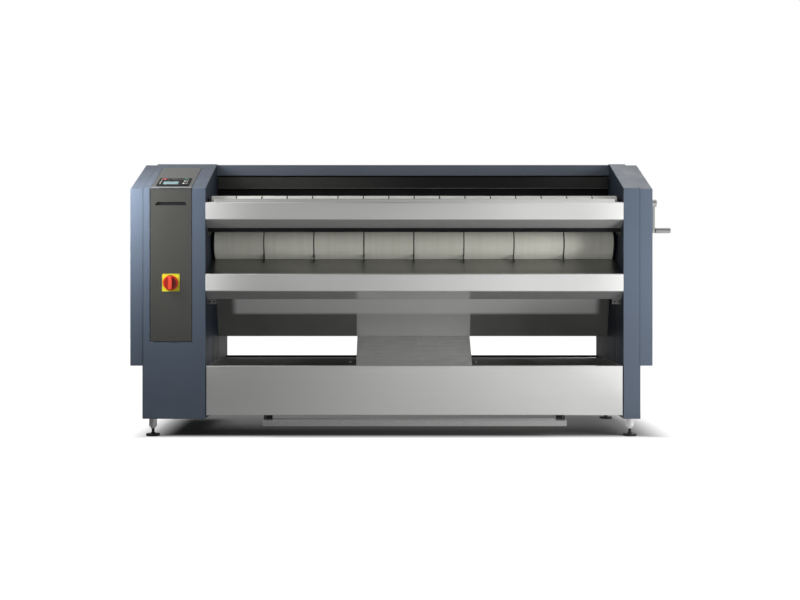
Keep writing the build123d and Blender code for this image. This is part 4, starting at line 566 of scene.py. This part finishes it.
special = {
    "control_housing": moulded(
        "housing_plastic", (0.010, 0.010, 0.011), rough=0.50, gloss=0.10, marks=panel_marks
    ),
    "stop_key": moulded(
        "stop_plastic", (0.42, 0.045, 0.045), rough=0.40,
        marks=disc_marks("stop_key", (0.70, 0.60, 0.60), bar=False),
    ),
    "start_key": moulded(
        "start_plastic", (0.030, 0.17, 0.10), rough=0.40,
        marks=disc_marks("start_key", (0.60, 0.70, 0.64), bar=True),
    ),
    "up_key": moulded("up_plastic", key_white, rough=0.40, marks=arrow_marks("up_key", up=True)),
    "down_key": moulded("down_plastic", key_white, rough=0.40, marks=arrow_marks("down_key", up=False)),
    "main_switch_knob": moulded(
        "knob_plastic", (0.58, 0.020, 0.010), rough=0.34, coat=0.15, marks=knob_marks
    ),
    "finger_guard": moulded(
        "guard_plastic", (0.042, 0.042, 0.040), rough=0.34, grain=0.000002, gloss=0.15, marks=guard_marks
    ),
    "control_fascia": brushed("fascia_steel", (0.19, 0.19, 0.18), rough=0.34, metal=0.8, marks=fascia_marks),
    "linen_tray": brushed("tray_steel", stainless_grey, marks=tray_shade_marks, **mirror_finish),
    "pedal_bar": brushed("pedal_steel", (0.46, 0.46, 0.455), rough=0.20, metal=0.8),
    "stripper_fingers": brushed("finger_steel", (0.10, 0.10, 0.10), rough=0.30),
    "left_side_frame": powder_coat(
        "left_frame_paint", inner_blue, marks=frame_shade_marks(frame_shade_left), **inner_finish
    ),
    "right_side_frame": powder_coat(
        "right_frame_paint", inner_blue, marks=frame_shade_marks(frame_shade_right), **inner_finish
    ),
    "rear_panel": powder_coat("rear_paint", (0.058, 0.076, 0.104), rough=0.45, coat=0.0, gloss=0.3),
    "inner_back_panel": back_panel("back_steel"),
    "return_slide": brushed(
        "slide_steel", (0.62, 0.62, 0.61), rough=0.26, grain=0.3, metal=0.35, streaks=0.25
    ),
    # beam black also colours the sheet under the hood behind the finger guard, a dark sheet that stands in
    # for the shade there
    "cross_beams": powder_coat("beam_black", (0.008, 0.008, 0.009), rough=0.60, coat=0.0, gloss=0.15),
    "exit_plate": brushed("exit_steel", (0.32, 0.32, 0.305), rough=0.36, streaks=0.6),
}

for entry in frame["record"]["subparts"]:
    slots = nodes[entry["node"]].data.materials
    slots.clear()
    slots.append(special.get(entry["node"]) or looks[entry["material_slot"]])


# ---- belts: closed loops round their rollers and pulleys ----------------------------------------

def axle(node):
    """(depth, height) of a roller's axis."""
    spot = middle(node)
    return spot.y, spot.z


def wheel(node, turn=1, extra=0.0):
    """A roller's axis, its radius, and 1 inside the loop or -1 outside it."""
    low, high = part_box(node)
    return axle(node), (high.z - low.z) / 2 + extra, turn


def loop_line(wheels, grow, arc_step):
    """Points (y, z) of a belt's line round its wheels, with the outward direction at each."""
    sized = [(centre, radius + turn * grow, turn) for centre, radius, turn in wheels]
    normals = []
    for n, (centre, radius, turn) in enumerate(sized):
        after, after_radius, after_turn = sized[(n + 1) % len(sized)]
        across, up = after[0] - centre[0], after[1] - centre[1]
        reach = (turn * radius - after_turn * after_radius) / math.hypot(across, up)
        normals.append(math.atan2(up, across) - math.acos(reach))
    line = []
    for n, (centre, radius, turn) in enumerate(sized):
        arrive, leave = normals[n - 1], normals[n]
        sweep = turn * ((turn * (leave - arrive)) % (2 * math.pi))
        steps = max(2, round(abs(sweep) * radius / arc_step))
        for k in range(steps + 1):
            angle = arrive + sweep * k / steps
            out = (math.cos(angle), math.sin(angle))
            line.append(((centre[0] + turn * radius * out[0], centre[1] + turn * radius * out[1]), out))
    return line


crease_angle = math.radians(30.0)
closing_run = 0.05  # length of cloth pattern on the faces that close a loop


def mesh_piece(name, points, faces, material, body):
    """Smooth shaded mesh that rides on a body."""
    mesh = bpy.data.meshes.new(name)
    mesh.from_pydata(points, [], faces)
    mesh.update()
    mesh.polygons.foreach_set("use_smooth", [True] * len(mesh.polygons))
    mesh.set_sharp_from_angle(angle=crease_angle)
    mesh.materials.append(material)
    piece = bpy.data.objects.new(name, mesh)
    bpy.context.scene.collection.objects.link(piece)
    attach(piece, body)
    return piece


def belts(name, slot, stands_for, loops):
    """One piece with a loop per start; a profile lists (share across, share through) round the edge."""
    points, faces, uvs = [], [], []
    for wheels, gap, thickness, width, starts, profile, arc_step in loops:
        line = loop_line(wheels, gap + thickness / 2, arc_step)
        run = [0.0]
        for (a, _), (b, _) in zip(line, line[1:]):
            run.append(run[-1] + math.dist(a, b))
        count, sides = len(line), len(profile)
        for start in starts:
            first = len(points)
            for spot, out in line:
                for across, through in profile:
                    lift = through * thickness
                    points.append((start + across * width, spot[0] + out[0] * lift, spot[1] + out[1] * lift))
            for n in range(count):
                here, there = run[n], run[n + 1] if n + 1 < count else run[n] + closing_run
                for k in range(sides):
                    a, b = n * sides + k, n * sides + (k + 1) % sides
                    c, d = ((n + 1) % count) * sides + (k + 1) % sides, ((n + 1) % count) * sides + k
                    faces.append((first + a, first + b, first + c, first + d))
                    left = start + profile[k][0] * width
                    right = start + profile[(k + 1) % sides][0] * width
                    uvs += [(left, here), (right, here), (right, there), (left, there)]
    piece = mesh_piece(name, points, faces, looks[slot], "machine")
    layer = piece.data.uv_layers.new(name="belt")
    for item, uv in zip(layer.data, uvs):
        item.uv = uv
    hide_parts(stands_for)


def flat_profile(width, thickness, edge):
    """Rounded flat strip, as shares of its width (0 to 1) and thickness (-0.5 to 0.5)."""
    e, f = edge / width, edge / thickness
    return [
        (e, -0.5), (1 - e, -0.5), (1, -0.5 + f), (1, 0.5 - f),
        (1 - e, 0.5), (e, 0.5), (0, 0.5 - f), (0, -0.5 + f),
    ]


def ribbed_profile(ribs, edge):
    """Flat back with V ribs on the inner face."""
    groove = -0.12
    profile = []
    for n in range(ribs):
        profile += [((n + 0.05) / ribs, groove), ((n + 0.3) / ribs, -0.5), ((n + 0.7) / ribs, -0.5)]
    profile += [(1, groove), (1, 0.5 - edge), (1 - edge / 2, 0.5), (edge / 2, 0.5), (0, 0.5 - edge)]
    return profile


def belt_starts(count, pitch, width):
    """Left edges of the belts, side by side about the middle of the working width."""
    return [inner_centre + (n - count // 2) * pitch + (pitch - width) / 2 for n in range(count)]


soft_gap = 0.0003

ironing_count, ironing_width, ironing_thickness = 8, 0.254, 0.003
ironing_edge, ironing_step = 0.0009, 0.006
ironing_wheels = [
    wheel("exit_roller"), wheel("bottom_roller"), wheel("rear_lower_roller"), wheel("rear_upper_roller"),
    wheel("entry_roller"), wheel("heated_cylinder", -1, 2 * soft_gap + ironing_thickness),
]
ironing_starts = belt_starts(ironing_count, ironing_pitch, ironing_width)
belts("woven_ironing_belts", "belt_cloth", "ironing_belts", [(
    ironing_wheels, soft_gap, ironing_thickness, ironing_width, ironing_starts,
    flat_profile(ironing_width, ironing_thickness, ironing_edge), ironing_step,
)])

feed_count, feed_width, feed_thickness = 16, 0.1235, 0.002
feed_edge, feed_step = 0.0006, 0.004
feed_belt_wheels = [wheel("feed_roller_front"), wheel("feed_roller_rear")]
feed_starts = belt_starts(feed_count, feed_pitch, feed_width)
belts("woven_feed_belts", "feed_cloth", "feed_belts", [(
    feed_belt_wheels, soft_gap, feed_thickness, feed_width, feed_starts,
    flat_profile(feed_width, feed_thickness, feed_edge), feed_step,
)])

# drive belts: motor to cylinder on the left, cylinder to the front feed roller on the right
cylinder_axle = axle("heated_cylinder")
large_motor_pulley, small_motor_pulley = 0.150, 0.050
large_feed_pulley, small_feed_pulley = 0.16248, 0.025
motor_wheels = [(cylinder_axle, large_motor_pulley, 1), (axle("motor_pulley"), small_motor_pulley, 1)]
motor_belt_thickness, motor_belt_width, motor_belt_x = 0.005, 0.0168, -1.0584
feed_wheels = [(cylinder_axle, large_feed_pulley, 1), (axle("feed_roller_front"), small_feed_pulley, 1)]
feed_drive_thickness, feed_drive_width, feed_drive_x = 0.003, 0.0068, 1.1616
rib_edge, drive_step = 0.25, 0.005
belts("ribbed_drive_belts", "belt_rubber", "drive_belts", [
    (
        motor_wheels, soft_gap, motor_belt_thickness, motor_belt_width, [motor_belt_x],
        ribbed_profile(5, rib_edge), drive_step,
    ),
    (
        feed_wheels, soft_gap, feed_drive_thickness, feed_drive_width, [feed_drive_x],
        ribbed_profile(2, rib_edge), drive_step,
    ),
])


# ---- camera, floor, backdrop and lights ---------------------------------------------------------

camera_data = bpy.data.cameras.new("camera")
camera_data.lens = 63.0
camera_data.sensor_width = 36.0
camera_data.shift_x = 0.0106
camera_data.shift_y = -0.0444
camera_data.clip_end = 100.0
camera = bpy.data.objects.new("camera", camera_data)
camera.location = (-0.056, -7.535, 0.871)
camera.rotation_euler = (math.radians(90.0), 0.0, 0.0)
bpy.context.scene.collection.objects.link(camera)
bpy.context.scene.camera = camera


def ramp(tree, value, stops):
    """Piecewise level over a value, from the first stop to the last."""
    scale = max(level for _, level in stops)
    first, last = stops[0][0], stops[-1][0]
    share = put(tree, "ShaderNodeMapRange", i0=value, i1=first, i2=last, i3=0.0, i4=1.0).outputs["Result"]
    made = put(tree, "ShaderNodeValToRGB", Fac=share)
    elements = made.color_ramp.elements
    while len(elements) < len(stops):
        elements.new(0.5)
    for element, (spot, level) in zip(elements, stops):
        element.position = (spot - first) / (last - first)
        element.color = (level / scale, level / scale, level / scale, 1.0)
    return sums(tree, "MULTIPLY", made.outputs["Color"], scale)


# the floor: matte to light, and white to the eye away from the machine, with a painted soft shadow round the
# machine where that glow is held back, on top of its real shadow; its mirrored level grows to the right
floor_grey = (0.24, 0.24, 0.24, 1.0)
white = (1.0, 1.0, 1.0, 1.0)
floor_reach = 9.0
glow_beside, glow_front, glow_behind = (1.15, 1.46), (-0.56, -0.36), (0.70, 1.30)
floor_material = bpy.data.materials.new("floor")
floor_material.use_nodes = True
tree = floor_material.node_tree
tree.nodes.clear()
path = put(tree, "ShaderNodeLightPath")
where = place(tree)
floor_x, floor_y = axis_of(tree, where, "X"), axis_of(tree, where, "Y")
# 1 away from the machine; near it the glow fades out, a painted shadow
beyond_painted_shadow = sums(
    tree, "MAXIMUM",
    spread(tree, absolute(tree, floor_x), 0.0, 1.0, *glow_beside, smooth=True),
    sums(
        tree, "MAXIMUM",
        spread(tree, floor_y, 1.0, 0.0, *glow_front, smooth=True),
        spread(tree, floor_y, 0.0, 1.0, *glow_behind, smooth=True),
    ),
)
matte = put(tree, "ShaderNodeBsdfDiffuse", Color=floor_grey)
seen = sums(tree, "MULTIPLY", path.outputs["Is Camera Ray"], beyond_painted_shadow)
glow = put(tree, "ShaderNodeEmission", Color=white, Strength=seen)
both = put(tree, "ShaderNodeAddShader", i0=matte.outputs[0], i1=glow.outputs[0])
mirrored_level = ramp(
    tree, floor_x,
    [
        (-3.5, 0.06), (-1.6, 0.10), (-1.345, 0.08), (-0.99, 0.15), (-0.70, 0.23), (-0.35, 0.32), (0.0, 0.41),
        (0.36, 0.49), (0.72, 0.61), (1.075, 0.70), (1.43, 0.62), (1.54, 1.20), (1.9, 1.20),
    ],
)
mirrored = put(tree, "ShaderNodeEmission", Color=white, Strength=mirrored_level)
bounced = sums(tree, "MAXIMUM", path.outputs["Is Glossy Ray"], path.outputs["Is Transmission Ray"])
whole = put(tree, "ShaderNodeMixShader", Fac=bounced, i1=both.outputs[0], i2=mirrored.outputs[0])
put(tree, "ShaderNodeOutputMaterial", Surface=whole.outputs[0])

floor_mesh = bpy.data.meshes.new("floor")
corners = [(x * floor_reach, y * floor_reach, 0) for x, y in ((-1, -1), (1, -1), (1, 1), (-1, 1))]
floor_mesh.from_pydata(corners, [], [(0, 1, 2, 3)])
floor_mesh.materials.append(floor_material)
floor = bpy.data.objects.new("floor", floor_mesh)
bpy.context.scene.collection.objects.link(floor)

# the world: white to the eye, a dim even room to matte surfaces, bright and dark stretches to metal
world = bpy.data.worlds.new("studio")
bpy.context.scene.world = world
world.use_nodes = True
tree = world.node_tree
tree.nodes.clear()
direction = put(tree, "ShaderNodeTexCoord").outputs["Generated"]
side, front, height = (axis_of(tree, direction, axis) for axis in "XYZ")
rear = spread(tree, front, 0.0, 1.0, -0.12, 0.20)
ahead = sums(tree, "MAXIMUM", absolute(tree, front), 0.02)
azimuth = sums(tree, "DIVIDE", side, ahead)
front_gloss = ramp(
    tree, azimuth,
    [
        (-0.60, 0.45), (-0.215, 1.30), (-0.172, 1.50), (-0.154, 0.75), (-0.144, 0.49), (-0.1385, 1.60),
        (-0.1290, 1.60), (-0.1225, 0.12), (-0.112, 0.16), (-0.093, 0.28), (-0.065, 0.45), (-0.029, 0.506),
        (0.0064, 0.618), (0.042, 0.773), (0.078, 0.919), (0.113, 1.01), (0.1487, 0.52), (0.158, 1.40),
        (0.19, 1.40), (0.24, 0.70), (0.60, 0.60),
    ],
)
front_gloss = sums(tree, "MULTIPLY", front_gloss, spread(tree, height, 1.0, 0.62, 0.10, 0.5))
left_part = spread(tree, azimuth, 1.0, 0.0, -0.145, -0.137)
fading = blended(tree, left_part, 1.0, spread(tree, height, 0.25, 1.0, -0.055, 0.025))
dip_centre = 0.012
dip = sums(
    tree, "MULTIPLY",
    spread(tree, apart(tree, azimuth, dip_centre), 0.85, 0.0, 0.03, 0.13),
    spread(tree, height, 0.0, 1.0, 0.050, 0.062),
)
fading = sums(tree, "MULTIPLY", fading, sums(tree, "SUBTRACT", 1.0, dip))
front_gloss = sums(tree, "MULTIPLY", front_gloss, fading)
rear_gloss = ramp(
    tree, azimuth, [(-0.5, 0.70), (-0.17, 0.68), (-0.13, 0.28), (0.1, 0.29), (0.15, 1.45), (0.5, 1.50)]
)
gloss = blended(tree, rear, front_gloss, rear_gloss)
room = sums(tree, "ADD", spread(tree, side, 0.0, 0.18, -0.7, 0.7), spread(tree, front, 0.0, 0.50, -0.2, 0.6))
path = put(tree, "ShaderNodeLightPath")
seen = sums(tree, "MAXIMUM", path.outputs["Is Camera Ray"], path.outputs["Is Transmission Ray"])
shown = blended(tree, seen, blended(tree, path.outputs["Is Glossy Ray"], room, gloss), 1.0)
backdrop = put(tree, "ShaderNodeBackground", Color=white, Strength=shown)
put(tree, "ShaderNodeOutputWorld", Surface=backdrop.outputs[0])


def softbox(name, location, target, width, height, power):
    """Area light that lights the matte share of surfaces and is not mirrored."""
    data = bpy.data.lights.new(name, "AREA")
    data.shape = "RECTANGLE"
    data.size = width
    data.size_y = height
    data.energy = power
    light = bpy.data.objects.new(name, data)
    light.location = location
    light.rotation_euler = (Vector(target) - Vector(location)).to_track_quat("-Z", "Y").to_euler()
    light.visible_camera = False
    light.visible_glossy = False
    bpy.context.scene.collection.objects.link(light)


softbox("left_box", (-1.63, -0.77, 1.36), (-1.28, -0.46, 1.15), 0.25, 0.75, 15.0)
softbox("right_box", (2.05, -1.25, 1.00), (1.25, -0.46, 0.85), 0.5, 1.1, 25.0)
softbox("front_box", (0.5, -3.0, 0.22), (0.1, -0.3, 0.70), 1.9, 0.4, 20.0)
softbox("top_box", (0.2, -0.9, 3.6), (0.1, 0.1, 0.9), 3.4, 1.4, 22.0)
softbox("rear_box", (-0.8, 4.2, 2.4), (0.0, 0.5, 0.8), 2.6, 1.6, 150.0)

bpy.context.scene.view_settings.view_transform = "Standard"
